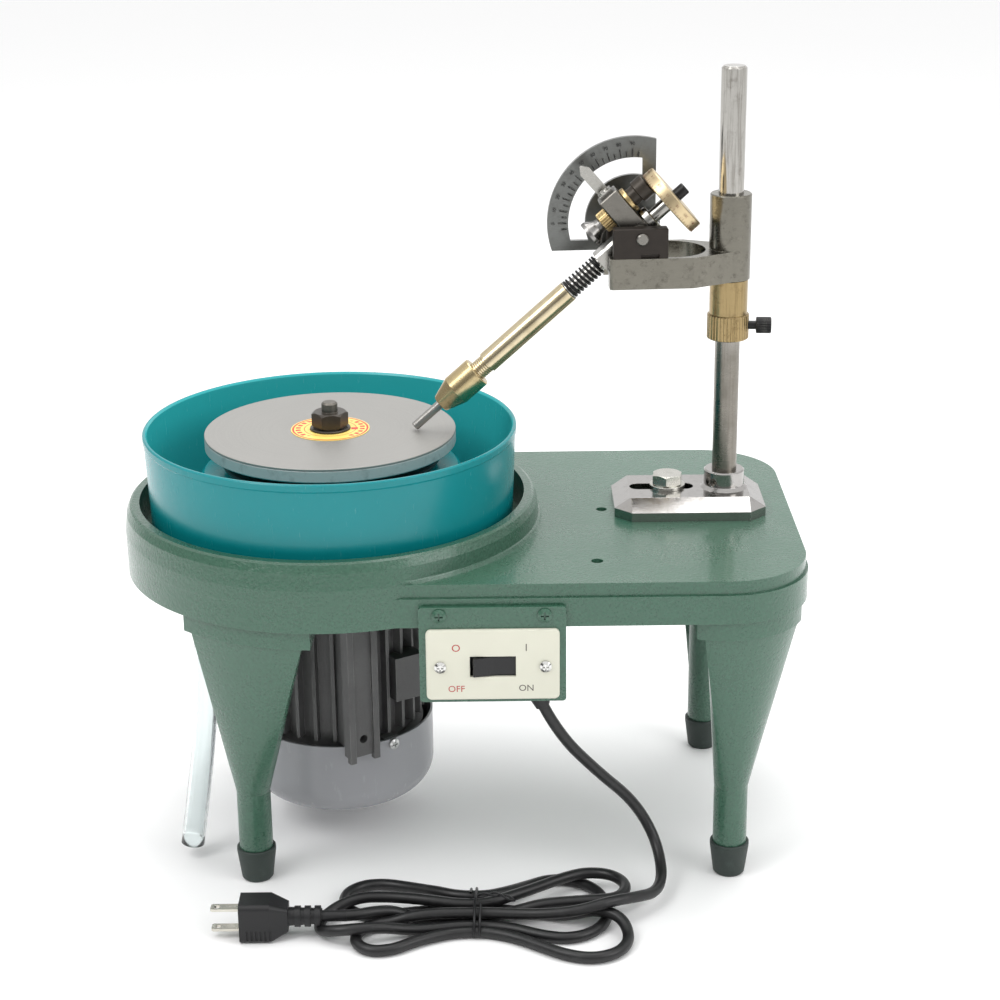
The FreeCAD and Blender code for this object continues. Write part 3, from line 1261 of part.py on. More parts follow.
def detent_housing():
    """Black housing screwed into the block; the index plunger runs in it."""
    x = HEAD_BACK + 0.02
    end = GEAR_AT - 0.6
    return turned_x([(x, 2.6 + RUN), (x, 5.5), (x + 7.5, 5.5), (x + 8.0, 7.0), (end - 0.5, 7.0),
                     (end, 6.5), (end, 2.6 + RUN)], 0, DETENT_UP)


def detent_plunger():
    x0 = HEAD_FRONT - 16.0
    return turned_x([(x0, 0), (x0, 2.6), (GEAR_AT - 1.6, 2.6), (GEAR_AT - 0.4, 1.2),
                     (GEAR_AT - 0.4, 0)], 0, DETENT_UP)


def detent_nut():
    x1 = HEAD_FRONT - GAP
    s = knurled(6.4, 6.4, (x1 - 6.4, 0, DETENT_UP), (1, 0, 0), 24, 0.35)
    return s.cut(cyl(2.6, 30, (x1 - 15, 0, DETENT_UP), (1, 0, 0)))


def detent_knob():
    x1 = HEAD_FRONT - GAP - 6.4 - 0.6
    return turned_x([(x1, 2.6), (x1, 4.2), (x1 - 2.6, 4.6), (x1 - 7.0, 7.8), (x1 - 9.2, 7.8),
                     (x1 - 9.2, 2.6)], 0, DETENT_UP)


# ------------------------------------------------------------------- quill
TUBE_TOP = SPRING_TOP - SPRING_LEN - 0.8


def quill_shaft():
    x0 = TUBE_TOP - 30.0
    x1 = GEAR_AT + GEAR_T
    return turned_x([(x0, 0), (x0, QUILL_R), (x1 - 0.5, QUILL_R), (x1, QUILL_R - 0.5), (x1, 0)],
                    0, QUILL_UP)


def quill_collar():
    x0 = HEAD_BACK + GAP
    s = turned_x([(x0, QUILL_R), (x0, 7.6), (x0 + 0.6, 8.2), (x0 + 4.4, 8.2), (x0 + 5.0, 7.6),
                  (x0 + 5.0, QUILL_R)], 0, QUILL_UP)
    return s


def index_gear():
    x0, x1 = GEAR_AT, GEAR_AT + GEAR_T
    s = turned_x([(x0, QUILL_R), (x0, GEAR_R - 0.6), (x0 + 0.6, GEAR_R), (x1 - 0.6, GEAR_R),
                  (x1, GEAR_R - 0.6), (x1, QUILL_R)], 0, QUILL_UP)
    for i in range(GEAR_TEETH):
        a = math.radians(360.0 * i / GEAR_TEETH)
        h = cyl(0.75, 3.0, (x0 - 1, GEAR_HOLES * math.sin(a), QUILL_UP + GEAR_HOLES * math.cos(a)),
                (1, 0, 0))
        s = s.cut(h)
    return s


GEAR_HOLES = DETENT_UP - QUILL_UP


def gear_screw():
    x = GEAR_AT + GEAR_T
    s = turned_x([(x, 0), (x, 3.7), (x + 6.4, 3.7), (x + 7.0, 3.2), (x + 7.0, 0)], 0, QUILL_UP)
    return s.cut(hexagon(3.6, 5, (x + 3.5, 0, QUILL_UP), (1, 0, 0)))


def quill_spring():
    """Compression spring between the guide and the brass tube."""
    length = SPRING_LEN - 2 * SPRING_WIRE
    pitch = length / SPRING_COILS
    helix = Part.makeHelix(pitch, length, SPRING_R)
    ring = Part.Wire(Part.Circle(V(SPRING_R, 0, 0), V(0, 1, 0.001), SPRING_WIRE).toShape())
    s = Part.Wire(helix).makePipeShell([ring], True, True)
    ends = [tube(SPRING_R + SPRING_WIRE, SPRING_R - SPRING_WIRE, 1.2, (0, 0, z))
            for z in (-SPRING_WIRE, length + SPRING_WIRE - 1.2)]
    s = s.fuse(ends[0]).fuse(ends[1])
    s.rotate(V(0, 0, 0), V(0, 1, 0), 90)
    s.translate(V(SPRING_TOP - SPRING_LEN + SPRING_WIRE, 0, QUILL_UP))
    return s


def spring_washer():
    """Thrust washer; it slides with the quill but does not turn with it."""
    x0 = TUBE_TOP + 0.05
    return turned_x([(x0, QUILL_R + RUN), (x0, 6.4), (x0 + 0.7, 6.4), (x0 + 0.7, QUILL_R + RUN)],
                    0, QUILL_UP)


def quill_tube():
    x1 = TUBE_TOP
    x0 = x1 - TUBE_LEN
    s = turned_x([(x0 - 8, DOP_R + 0.02), (x0 - 8, 5.8), (x0, 5.8), (x0, TUBE_R), (x1 - 0.5, TUBE_R),
                  (x1, TUBE_R - 0.5), (x1, QUILL_R), (x1 - 30, QUILL_R), (x1 - 30, DOP_R + 0.02)],
                 0, QUILL_UP)
    for k in range(5):
        x = x0 - 1.2 - 1.4 * k
        s = s.cut(turned_x([(x, 5.3), (x + 0.45, 6.2), (x - 0.45, 6.2)], 0, QUILL_UP))
    return s


def collet_nut():
    x1 = TUBE_TOP - TUBE_LEN - 8.0
    r = CHUCK_R
    return turned_x([(x1, 3.4), (x1, r - 0.6), (x1 - 0.6, r), (x1 - 17, r), (x1 - 29, 5.5),
                     (x1 - 29.5, 5.0), (x1 - 29.5, DOP_R), (x1 - 0.02, DOP_R)], 0, QUILL_UP)


def dop_stick():
    x1 = TUBE_TOP - TUBE_LEN + 8.0
    return turned_x([(x1, 0), (x1, DOP_R), (DOP_TIP + 5.0, DOP_R), (DOP_TIP + 0.4, DOP_R),
                     (DOP_TIP, DOP_R - 0.4), (DOP_TIP, 0)], 0, QUILL_UP)


# ------------------------------------------------------------------- build
def compound(shapes):
    return Part.makeCompound(shapes)


def build():
    nodes = {}
    nodes["base_casting"] = base_casting()
    for s in leg_stations():
        nodes["leg_" + s[0]] = leg(s)
    nodes["rubber_feet"] = compound([foot(s) for s in leg_stations()])
    nodes["base_fixings"] = compound(leg_bolts() + motor_studs() + cover_screws())
    nodes["splash_bowl"] = bowl()
    nodes["drain_nozzle"] = drain_nozzle()
    nodes["drain_hose"] = drain_hose()
    nodes["motor_housing"] = motor_housing()
    nodes["motor_end_bells"] = compound([motor_upper_bell(), motor_lower_bell()])
    nodes["bearings"] = compound([bearing(UPPER_BEARING_Z), bearing(LOWER_BEARING_Z)])
    nodes["fan_cover"] = fan_cover()
    nodes["stator"] = compound([stator_core()] + stator_windings())
    nodes["terminal_box"] = terminal_box()
    nodes["cooling_fan"] = cooling_fan()
    nodes["motor_shaft"] = motor_shaft()
    nodes["slinger"] = slinger()
    nodes["backing_plate"] = backing_plate()
    nodes["diamond_lap"] = diamond_lap()
    nodes["lap_label"] = lap_label()
    nodes["lap_nut"] = lap_washer().fuse(lap_nut()).removeSplitter()
    nodes["switch_bracket"] = switch_bracket()
    nodes["switch_plate"] = switch_plate()
    nodes["switch_body"] = switch_body()
    nodes["rocker"] = rocker()
    nodes["bracket_screws"] = compound(bracket_screws())
    nodes["plate_screws"] = compound(plate_screws())
    nodes["cord_gland"] = cord_gland()
    nodes["power_cord"] = power_cord()
    nodes["cord_hank"] = cord_hank()
    nodes["cord_tie"] = cord_tie()
    nodes["plug_body"] = plug_body()
    nodes["plug_blades"] = compound(plug_blades())
    nodes["column_base"] = column_base()
    nodes["column_rod"] = compound([column_rod(), column_set_screw()])
    nodes["clamp_bolt"] = clamp_bolt()
    front_pin, rear_pin = pivot_pins()
    arm = {
        "height_collar": height_sleeve().fuse(height_collar()).removeSplitter(),
        "height_clamp_screw": height_clamp_screw(), "arm_bracket": arm_bracket(),
        "trunnion_front": trunnion_block(FRONT_BLOCK_Y, True),
        "trunnion_rear": trunnion_block(REAR_BLOCK_Y, False),
        "scale_plate": quad_plate(),
        "pivot_pins": compound([front_pin, rear_pin] + block_screws() + quad_screws())}
    head = {
        "head_block": head_block(), "quill_guide": quill_guide(), "pointer": compound([pointer(), pointer_screw()]),
        "lock_ring": lock_ring(),
        "detent_housing": detent_housing(),
        "detent_plunger": fused([detent_plunger(), detent_knob()]),
        "detent_nut": detent_nut(),
        "quill_shaft": fused([quill_shaft(), quill_collar()]),
        "index_gear": index_gear(), "gear_screw": gear_screw(),
        "quill_spring": quill_spring(), "spring_washer": spring_washer(),
        "quill_tube": quill_tube(), "collet_nut": collet_nut(), "dop_stick": dop_stick()}
    nodes.update({k: place_arm(s) for k, s in arm.items()})
    nodes.update({k: place_head(s) for k, s in head.items()})
    return nodes


# half the machine's length and width, for the middle of its footprint
LEFT_EDGE = -SURROUND_OUT
RIGHT_EDGE = DECK_END + SKIRT_FLARE
BACK_EDGE = SURROUND_OUT


def main():
    nodes = build()
    low = min(s.BoundBox.YMin for k, s in nodes.items() if not k.startswith(("cord_", "plug_", "power")))
    shift = V(-(LEFT_EDGE + RIGHT_EDGE) / 2.0, -(low + BACK_EDGE) / 2.0, 0)
    print("shift", shift)
    for name, shape in nodes.items():
        shape.translate(shift)
        bad = "" if shape.isValid() else "  INVALID"
        print("%-20s %10.0f mm3  solids %d  z %.2f %.2f%s" % (
            name, shape.Volume, len(shape.Solids), shape.BoundBox.ZMin, shape.BoundBox.ZMax, bad))
        shape.exportStep("parts/" + name + ".step")
    print(len(nodes), "nodes")


main()
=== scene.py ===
"""Looks of a bench faceting machine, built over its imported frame.

Every finish is a small class that writes its own shader, every sub-assembly
is a class that dresses its parts and adds what the frame leaves plain: the
mains lead with its hank, the drain hose, the wire tie, the quill spring and
the printed and engraved marks.
"""

import json
import logging
import math
from dataclasses import dataclass, field
from enum import Enum
from typing import Any, Dict, List, Mapping, Optional, Sequence, Tuple, Union

import bmesh
import bpy
from mathutils import Matrix, Vector

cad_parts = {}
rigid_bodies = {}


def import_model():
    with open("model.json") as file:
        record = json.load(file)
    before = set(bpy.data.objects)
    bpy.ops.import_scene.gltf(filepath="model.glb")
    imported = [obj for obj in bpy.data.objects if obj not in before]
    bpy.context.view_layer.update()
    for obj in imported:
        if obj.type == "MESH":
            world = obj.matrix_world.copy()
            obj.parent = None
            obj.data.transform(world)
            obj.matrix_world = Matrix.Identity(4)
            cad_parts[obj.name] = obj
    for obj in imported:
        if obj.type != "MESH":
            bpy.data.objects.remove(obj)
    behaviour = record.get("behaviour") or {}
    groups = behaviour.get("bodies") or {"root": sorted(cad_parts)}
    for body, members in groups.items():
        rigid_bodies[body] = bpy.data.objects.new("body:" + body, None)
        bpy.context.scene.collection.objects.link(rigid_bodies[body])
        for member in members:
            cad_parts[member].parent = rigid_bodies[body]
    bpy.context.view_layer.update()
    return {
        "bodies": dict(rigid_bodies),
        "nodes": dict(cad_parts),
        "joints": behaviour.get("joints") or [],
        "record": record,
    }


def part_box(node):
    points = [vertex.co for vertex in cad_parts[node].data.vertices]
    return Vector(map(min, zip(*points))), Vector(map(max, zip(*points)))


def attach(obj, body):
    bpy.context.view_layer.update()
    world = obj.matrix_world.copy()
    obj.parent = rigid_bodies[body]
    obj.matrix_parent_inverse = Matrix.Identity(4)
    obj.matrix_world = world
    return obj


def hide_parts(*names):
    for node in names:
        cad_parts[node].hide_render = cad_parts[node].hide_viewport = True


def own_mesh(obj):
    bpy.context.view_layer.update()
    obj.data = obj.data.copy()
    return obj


Colour = Tuple[float, float, float]
Point = Tuple[float, float, float]
log = logging.getLogger("faceting_machine")
MM = 0.001


# --------------------------------------------------------------- shader maths
class Signal:
    """One output socket of a shader, with arithmetic written as Python."""

    def __init__(self, recipe: "Recipe", socket: Any) -> None:
        """Keeps the socket and the recipe that it belongs to."""
        self.recipe = recipe
        self.socket = socket

    def _maths(self, operation: str, *values: "Value") -> "Signal":
        """Adds one Math node.

        Args:
            operation: the node's operation.
            values: what goes into its sockets, in order.

        Returns:
            The node's output.
        """
        return self.recipe.add("ShaderNodeMath", {"operation": operation},
                               dict(enumerate(values)))

    def __add__(self, other: "Value") -> "Signal":
        """Sum."""
        return self._maths("ADD", self, other)

    def __radd__(self, other: "Value") -> "Signal":
        """Sum, reflected."""
        return self._maths("ADD", other, self)

    def __sub__(self, other: "Value") -> "Signal":
        """Difference."""
        return self._maths("SUBTRACT", self, other)

    def __rsub__(self, other: "Value") -> "Signal":
        """Difference, reflected."""
        return self._maths("SUBTRACT", other, self)

    def __mul__(self, other: "Value") -> "Signal":
        """Product."""
        return self._maths("MULTIPLY", self, other)

    def __rmul__(self, other: "Value") -> "Signal":
        """Product, reflected."""
        return self._maths("MULTIPLY", other, self)

    def __truediv__(self, other: "Value") -> "Signal":
        """Quotient."""
        return self._maths("DIVIDE", self, other)

    def __gt__(self, other: "Value") -> "Signal":
        """One where greater, else nought."""
        return self._maths("GREATER_THAN", self, other)

    def __lt__(self, other: "Value") -> "Signal":
        """One where less, else nought."""
        return self._maths("LESS_THAN", self, other)

    def fold(self) -> "Signal":
        """The fractional part."""
        return self._maths("FRACT", self)

    def size(self) -> "Signal":
        """The absolute value."""
        return self._maths("ABSOLUTE", self)

    def root(self) -> "Signal":
        """The square root."""
        return self._maths("SQRT", self)

    def turn(self, other: "Value") -> "Signal":
        """The angle of (other, self) in radians."""
        return self._maths("ARCTAN2", self, other)

    def __neg__(self) -> "Signal":
        """The value with its sign turned."""
        return self._maths("MULTIPLY", self, -1.0)

    def step(self, low: float, high: float) -> "Signal":
        """A smooth step from 0 at low to 1 at high."""
        return self.recipe.add(
            "ShaderNodeMapRange", {"interpolation_type": "SMOOTHSTEP"},
            {"Value": self, "From Min": low, "From Max": high})

    def band(self, middle: float, half: float) -> "Signal":
        """One inside a narrow band round a value, else nought."""
        return 1.0 - (self - middle).size().step(half * 0.6, half * 1.4)


Value = Union[Signal, float]
Tint = Union[Signal, Colour]


class Recipe:
    """A node tree that is being written."""

    def __init__(self, tree: bpy.types.NodeTree) -> None:
        """Empties the tree."""
        self.tree = tree
        tree.nodes.clear()

    def add(self, kind: str, settings: Mapping[str, Any], sockets: Mapping[Any, Any],
            output: Union[int, str] = 0) -> Signal:
        """Adds one node.

        Args:
            kind: the node's type.
            settings: properties, set first; "stops" fills a colour ramp.
            sockets: values or signals by socket name or number.
            output: which output comes back.

        Returns:
            The chosen output, or an empty signal for an output node.
        """
        node = self.tree.nodes.new(kind)
        for key, value in settings.items():
            if key == "stops":
                ramp = node.color_ramp
                while len(ramp.elements) < len(value):
                    ramp.elements.new(0.5)
                for element, (place, tone) in zip(ramp.elements, value):
                    element.position = place
                    element.color = (*tone, 1.0)
            else:
                setattr(node, key, value)
        for key, value in sockets.items():
            if isinstance(value, Signal):
                self.tree.links.new(value.socket, node.inputs[key])
            elif isinstance(value, tuple) and node.inputs[key].type == "RGBA":
                node.inputs[key].default_value = (*value[:3], 1.0)
            else:
                node.inputs[key].default_value = value
        return Signal(self, node.outputs[output] if len(node.outputs) else None)

    def spot(self) -> Signal:
        """Where on the part the shading point is, in metres."""
        return self.add("ShaderNodeTexCoord", {}, {}, "Object")

    def mix(self, low: Tint, high: Tint, share: Value) -> Signal:
        """A colour between two colours."""
        return self.add("ShaderNodeMix", {"data_type": "RGBA"},
                        {0: share, 6: low, 7: high}, 2)

    def vector(self, operation: str, first: Any, second: Any,
               output: Union[int, str] = "Vector") -> Signal:
        """One Vector Math node."""
        return self.add("ShaderNodeVectorMath", {"operation": operation},
                        {0: first, 1: second}, output)

    def along(self, spot: Signal, origin: Point, axis: Point) -> Signal:
        """How far along an axis the point is, in metres."""
        away = self.vector("SUBTRACT", spot, tuple(origin))
        return self.vector("DOT_PRODUCT", away, tuple(axis), "Value")

    def noise(self, spot: Signal, size: float, detail: float = 2.0, rough: float = 0.55,
              stretch: Point = (1.0, 1.0, 1.0)) -> Signal:
        """Soft noise.

        Args:
            spot: coordinates in metres.
            size: width of one feature in metres.
            detail: octaves.
            rough: how strong the octaves are.
            stretch: longer features along an axis, as a factor.

        Returns:
            A value about one half.
        """
        scale = tuple(1.0 / (size * s) for s in stretch)
        return self.add("ShaderNodeTexNoise", {},
                        {"Vector": self.vector("MULTIPLY", spot, scale), "Scale": 1.0,
                         "Detail": detail, "Roughness": rough})

    def cells(self, spot: Signal, size: float, smooth: float = 0.0,
              output: str = "Distance") -> Signal:
        """Cell pattern, either its distance or a random colour per cell."""
        settings: Dict[str, Any] = {"feature": "SMOOTH_F1"} if smooth else {}
        sockets: Dict[str, Any] = {
            "Vector": self.vector("MULTIPLY", spot, (1.0 / size,) * 3), "Scale": 1.0}
        if smooth:
            sockets["Smoothness"] = smooth
        return self.add("ShaderNodeTexVoronoi", settings, sockets, output)

    def rounded(self, radius: float) -> Signal:
        """The normal as if every edge had a small radius."""
        return self.add("ShaderNodeBevel", {"samples": 4}, {"Radius": radius})

    def edges(self, radius: float) -> Signal:
        """Large on sharp edges and nought on open faces."""
        plain = self.facing()
        return 1.0 - self.vector("DOT_PRODUCT", self.rounded(radius), plain, "Value")

    def facing(self) -> Signal:
        """The part's own surface normal."""
        return self.add("ShaderNodeNewGeometry", {}, {}, "Normal")


# ------------------------------------------------------------------- finishes
@dataclass
class Look:
    """What a finish gives to the shader."""

    colour: Tint
    roughness: Value
    metallic: Value = 0.0
    height: Optional[Signal] = None
    depth: float = 0.0001
    coat: Value = 0.0
    fixed: Dict[str, Any] = field(default_factory=dict)


@dataclass(frozen=True)
class Finish:
    """A finish: a name, a colour and how smooth it is."""

    name: str
    colour: Colour
    roughness: float = 0.4
    edge: float = 0.35 * MM

    def look(self, r: Recipe, spot: Signal) -> Look:
        """Writes what varies over the surface.

        Args:
            r: the recipe that is being written.
            spot: coordinates on the part.

        Returns:
            The values for the shader.
        """
        haze = r.noise(spot, 9 * MM, 3.0)
        return Look(self.shade(r, haze, 0.12), self.roughness + (haze - 0.5) * 0.2)

    def shade(self, r: Recipe, share: Value, spread: float) -> Signal:
        """The finish's colour, a little darker and lighter by a share."""
        low = tuple(c * (1.0 - spread) for c in self.colour)
        high = tuple(min(1.0, c * (1.0 + spread)) for c in self.colour)
        return r.mix(low, high, share)

    def material(self) -> bpy.types.Material:
        """Makes the finish's material once, and returns it."""
        known = bpy.data.materials.get(self.name)
        if known is not None and known.get("finish"):
            return known
        made = bpy.data.materials.new(self.name)
        made["finish"] = True
        made.use_nodes = True
        made.diffuse_color = (*self.colour, 1.0)
        r = Recipe(made.node_tree)
        look = self.look(r, r.spot())
        sockets: Dict[str, Any] = {
            "Base Color": look.colour, "Roughness": look.roughness,
            "Metallic": look.metallic, "Coat Weight": look.coat}
        normal = r.rounded(self.edge) if self.edge else None
        if look.height is not None:
            bump: Dict[str, Any] = {"Height": look.height, "Distance": look.depth,
                                    "Strength": 1.0}
            if normal is not None:
                bump["Normal"] = normal
            normal = r.add("ShaderNodeBump", {}, bump)
        if normal is not None:
            sockets["Normal"] = normal
        sockets.update(look.fixed)
        shader = r.add("ShaderNodeBsdfPrincipled", {}, sockets)
        r.add("ShaderNodeOutputMaterial", {}, {"Surface": shader})
        return made


@dataclass(frozen=True)
class HammeredEnamel(Finish):
    """Thick enamel with a fine hammered skin over a sand casting."""

    grain: float = 1.5 * MM
    deep: float = 0.52 * MM

    def look(self, r: Recipe, spot: Signal) -> Look:
        """Hammered skin, thin paint on edges and faint handling marks."""
        skin = r.noise(spot, self.grain, 2.5, 0.6)
        dimples = r.cells(spot, self.grain * 1.7, 0.6)
        cloud = r.noise(spot, 28 * MM, 3.0)
        rubbed = r.edges(1.0 * MM).step(0.03, 0.30) * r.noise(spot, 5 * MM, 3.0).step(0.40, 0.62)
        tone = self.shade(r, skin.step(0.30, 0.70) * 0.7 + cloud * 0.3, 0.16)
        pale = tuple(min(1.0, c * 1.9 + 0.05) for c in self.colour)
        return Look(r.mix(tone, pale, rubbed * 0.55),
                    self.roughness + (cloud - 0.5) * 0.22 + (skin - 0.5) * 0.20,
                    height=skin * 0.8 + dimples * 0.35, depth=self.deep, coat=0.42,
                    fixed={"Coat Roughness": 0.12, "IOR": 1.52})


@dataclass(frozen=True)
class MouldedPlastic(Finish):
    """Injection moulded plastic with a faint skin and handling haze."""

    grain: float = 0.5 * MM
    deep: float = 0.012 * MM
    glow: float = 0.0

    def look(self, r: Recipe, spot: Signal) -> Look:
        """Slow tone drift, fine skin and faint scuffs."""
        drift = r.noise(spot, 45 * MM, 3.0)
        skin = r.noise(spot, self.grain, 2.0)
        scuff = r.noise(spot, 3.5 * MM, 4.0, 0.7, (1.0, 1.0, 5.0)).step(0.60, 0.74)
        return Look(self.shade(r, drift, 0.07),
                    self.roughness + (drift - 0.5) * 0.10 + scuff * 0.12,
                    height=skin, depth=self.deep,
                    fixed={"IOR": 1.42, "Subsurface Weight": self.glow,
                           "Subsurface Radius": (0.004, 0.004, 0.004),
                           "Subsurface Scale": 0.5})


@dataclass(frozen=True)
class BowlPlastic(MouldedPlastic):
    """Moulded bowl, with light painted onto the walls that face the spindle."""

    origin: Point = (0.0, 0.0, 0.0)
    # inside: the colour of the painted light on the walls that face the spindle
    inside: Colour = (0.03, 0.42, 0.44)

    def look(self, r: Recipe, spot: Signal) -> Look:
        """The plain moulding, with painted light where the wall looks at the spindle."""
        plain = super().look(r, spot)
        away = r.vector("SUBTRACT", spot, self.origin)
        out = r.vector("NORMALIZE", r.vector("MULTIPLY", away, (1.0, 1.0, 0.0)), (0.0,) * 3)
        painted_light_facing = r.vector("DOT_PRODUCT", out, r.facing(), "Value") * -1.0
        lime = r.noise(spot, 2.2 * MM, 4.0, 0.7, (1.0, 1.0, 6.0)).step(0.64, 0.76)
        # painted light: walls that face the spindle are mixed towards the lighter colour
        tone = r.mix(plain.colour, self.inside, painted_light_facing.step(0.2, 0.8))
        return Look(r.mix(tone, (0.35, 0.62, 0.62), lime * 0.18), plain.roughness,
                    height=plain.height, depth=plain.depth, fixed=plain.fixed)


@dataclass(frozen=True)
class CastGrey(Finish):
    """Thin grey paint on a rough die casting."""

    grain: float = 1.1 * MM
    deep: float = 0.16 * MM

    def look(self, r: Recipe, spot: Signal) -> Look:
        """Sand texture, dark in the hollows, bright on rubbed edges."""
        sand = r.noise(spot, self.grain, 4.0, 0.65)
        soot = r.noise(spot, 16 * MM, 4.0, 0.6)
        rubbed = r.edges(0.8 * MM).step(0.04, 0.30) * soot.step(0.35, 0.60)
        tone = self.shade(r, sand * 0.5 + soot * 0.5, 0.35)
        return Look(r.mix(tone, (0.42, 0.42, 0.41), rubbed * 0.6),
                    self.roughness + (sand - 0.5) * 0.2, metallic=rubbed * 0.6 + 0.15,
                    height=sand, depth=self.deep)


@dataclass(frozen=True)
class TurnedMetal(Finish):
    """Metal turned in a lathe: fine rings about an axis."""

    origin: Point = (0.0, 0.0, 0.0)
    axis: Point = (0.0, 0.0, 1.0)
    pitch: float = 0.22 * MM
    tarnish: Colour = (0.25, 0.20, 0.12)
    stain: float = 0.25
    metal: float = 1.0
    dull: Optional[Tuple[float, float]] = None
    streak: float = 0.0

    def look(self, r: Recipe, spot: Signal) -> Look:
        """Rings, slow tarnish, handling smears and a length darkened along the axis."""
        run = r.along(spot, self.origin, self.axis)
        rings = r.add("ShaderNodeTexNoise", {"noise_dimensions": "1D"},
                      {"W": run / self.pitch, "Scale": 1.0, "Detail": 2.0})
        wide = r.add("ShaderNodeTexNoise", {"noise_dimensions": "1D"},
                     {"W": run / (self.pitch * 14.0), "Scale": 1.0, "Detail": 2.0})
        smear = r.noise(spot, 7 * MM, 4.0, 0.62)
        pits = r.noise(spot, 0.7 * MM, 2.0).step(0.66, 0.74)
        drawn = r.noise(spot, 1.3 * MM, 3.0, 0.6, tuple(1.0 + 24.0 * abs(a) for a in self.axis))
        tone = r.mix(self.shade(r, rings * 0.5 + wide * 0.5, 0.10), self.tarnish,
                     smear.step(0.52, 0.74) * self.stain + pits * 0.25
                     + drawn.step(0.46, 0.66) * self.streak)
        rough = self.roughness + (smear - 0.5) * 0.22 + (rings - 0.5) * 0.12
        # An optional length along the axis is mixed towards the tarnish colour: painted shade on
        # the rod, a darker threaded end on the motor stud.
        if self.dull is not None:
            start, end = self.dull
            share = run.step(min(start, end), max(start, end))
            worn = share if end > start else 1.0 - share
            tone = r.mix(tone, self.tarnish, worn * 0.8)
            rough = rough + worn * 0.12
        return Look(tone, rough, metallic=self.metal, height=rings + pits * -0.8,
                    depth=0.010 * MM)


@dataclass(frozen=True)
class BrushedMetal(Finish):
    """Plated or milled metal with grain along one direction."""

    stretch: Point = (14.0, 1.0, 1.0)
    grain: float = 0.35 * MM
    blotch: float = 0.30
    dark: Colour = (0.12, 0.11, 0.10)
    relief: float = 0.015 * MM
    # rim: how strongly the painted edge highlight lifts the colour
    rim: float = 1.3

    def look(self, r: Recipe, spot: Signal) -> Look:
        """Grain, mottled plating with darker blotches, and a painted highlight along the edges.
        """
        grain = r.noise(spot, self.grain, 3.0, 0.6, self.stretch)
        mottle = r.noise(spot, 4.5 * MM, 4.0, 0.66)
        broad = r.noise(spot, 17 * MM, 3.0, 0.6)
        # painted highlight: sharp edges are lifted towards a brighter colour
        bright = r.edges(0.5 * MM).step(0.05, 0.35)
        tone = r.mix(self.shade(r, grain, 0.14), self.dark,
                     mottle.step(0.50, 0.76) * self.blotch + broad.step(0.5, 0.8) * 0.12)
        painted_highlight_tone = r.mix(tone, tuple(min(1.0, c * self.rim) for c in self.colour), bright * 0.5)
        return Look(painted_highlight_tone, self.roughness + (mottle - 0.5) * 0.24 + (grain - 0.5) * 0.12,
                    metallic=1.0, height=grain + mottle * 0.4, depth=self.relief)


@dataclass(frozen=True)
class DarkOxide(Finish):
    """Blackened steel with an oily sheen and bright rubbed edges."""

    bare: Colour = (0.42, 0.40, 0.37)

    def look(self, r: Recipe, spot: Signal) -> Look:
        """Oil film, fine mill grain and worn corners."""
        film = r.noise(spot, 5 * MM, 4.0, 0.65)
        grain = r.noise(spot, 0.45 * MM, 2.0, 0.6, (6.0, 1.0, 1.0))
        worn = r.edges(0.5 * MM).step(0.05, 0.38) * film.step(0.38, 0.60)
        return Look(r.mix(self.shade(r, film, 0.35), self.bare, worn * 0.7),
                    self.roughness + (film - 0.5) * 0.25, metallic=worn * 0.5 + 0.45,
                    height=grain + film, depth=0.02 * MM)


@dataclass(frozen=True)
class DiamondFace(Finish):
    """Fine diamond held in nickel on a flat disc, worn in rings by stones."""

    origin: Point = (0.0, 0.0, 0.0)

    def look(self, r: Recipe, spot: Signal) -> Look:
        """Sparkling grit on the face and rings of wear."""
        away = r.vector("SUBTRACT", spot, self.origin)
        flat = r.vector("MULTIPLY", away, (1.0, 1.0, 0.0))
        reach = r.vector("LENGTH", flat, (0.0, 0.0, 0.0), "Value")
        grit = r.cells(spot, 0.34 * MM, output="Color")
        sparkle = r.vector("DOT_PRODUCT", grit, (0.34, 0.33, 0.33), "Value")
        tracks = r.add("ShaderNodeTexNoise", {"noise_dimensions": "1D"},
                       {"W": reach / (1.6 * MM), "Scale": 1.0, "Detail": 3.0})
        cloud = r.noise(spot, 24 * MM, 3.0)
        tone = self.shade(r, sparkle * 0.55 + tracks * 0.25 + cloud * 0.2, 0.22)
        return Look(tone, self.roughness + (sparkle - 0.5) * 0.25 + (cloud - 0.5) * 0.1,
                    metallic=0.55, height=sparkle + tracks * 0.3, depth=0.03 * MM)


@dataclass(frozen=True)
class Rubber(Finish):
    """Black or dark rubber with bloom and fine texture."""

    bloom: float = 0.3

    def look(self, r: Recipe, spot: Signal) -> Look:
        """Grey bloom, dust and a fine extruded skin."""
        dust = r.noise(spot, 6 * MM, 4.0, 0.65)
        skin = r.noise(spot, 0.55 * MM, 2.0, 0.6)
        pale = tuple(c * 2.2 + 0.02 for c in self.colour)
        return Look(r.mix(self.shade(r, skin, 0.2), pale, dust.step(0.48, 0.78) * self.bloom),
                    self.roughness + (dust - 0.5) * 0.25, height=skin + dust * 0.5,
                    depth=0.035 * MM, fixed={"IOR": 1.5})


@dataclass(frozen=True)
class ClearVinyl(Finish):
    """Soft clear hose, faintly milky."""

    def look(self, r: Recipe, spot: Signal) -> Look:
        """Clear wall with drawn streaks and a trace of haze."""
        streak = r.noise(spot, 1.2 * MM, 3.0, 0.5, (1.0, 1.0, 14.0))
        haze = r.noise(spot, 12 * MM, 3.0)
        return Look(self.shade(r, haze, 0.03), self.roughness + (streak - 0.5) * 0.10,
                    height=streak, depth=0.03 * MM,
                    fixed={"Transmission Weight": 1.0, "IOR": 1.42})


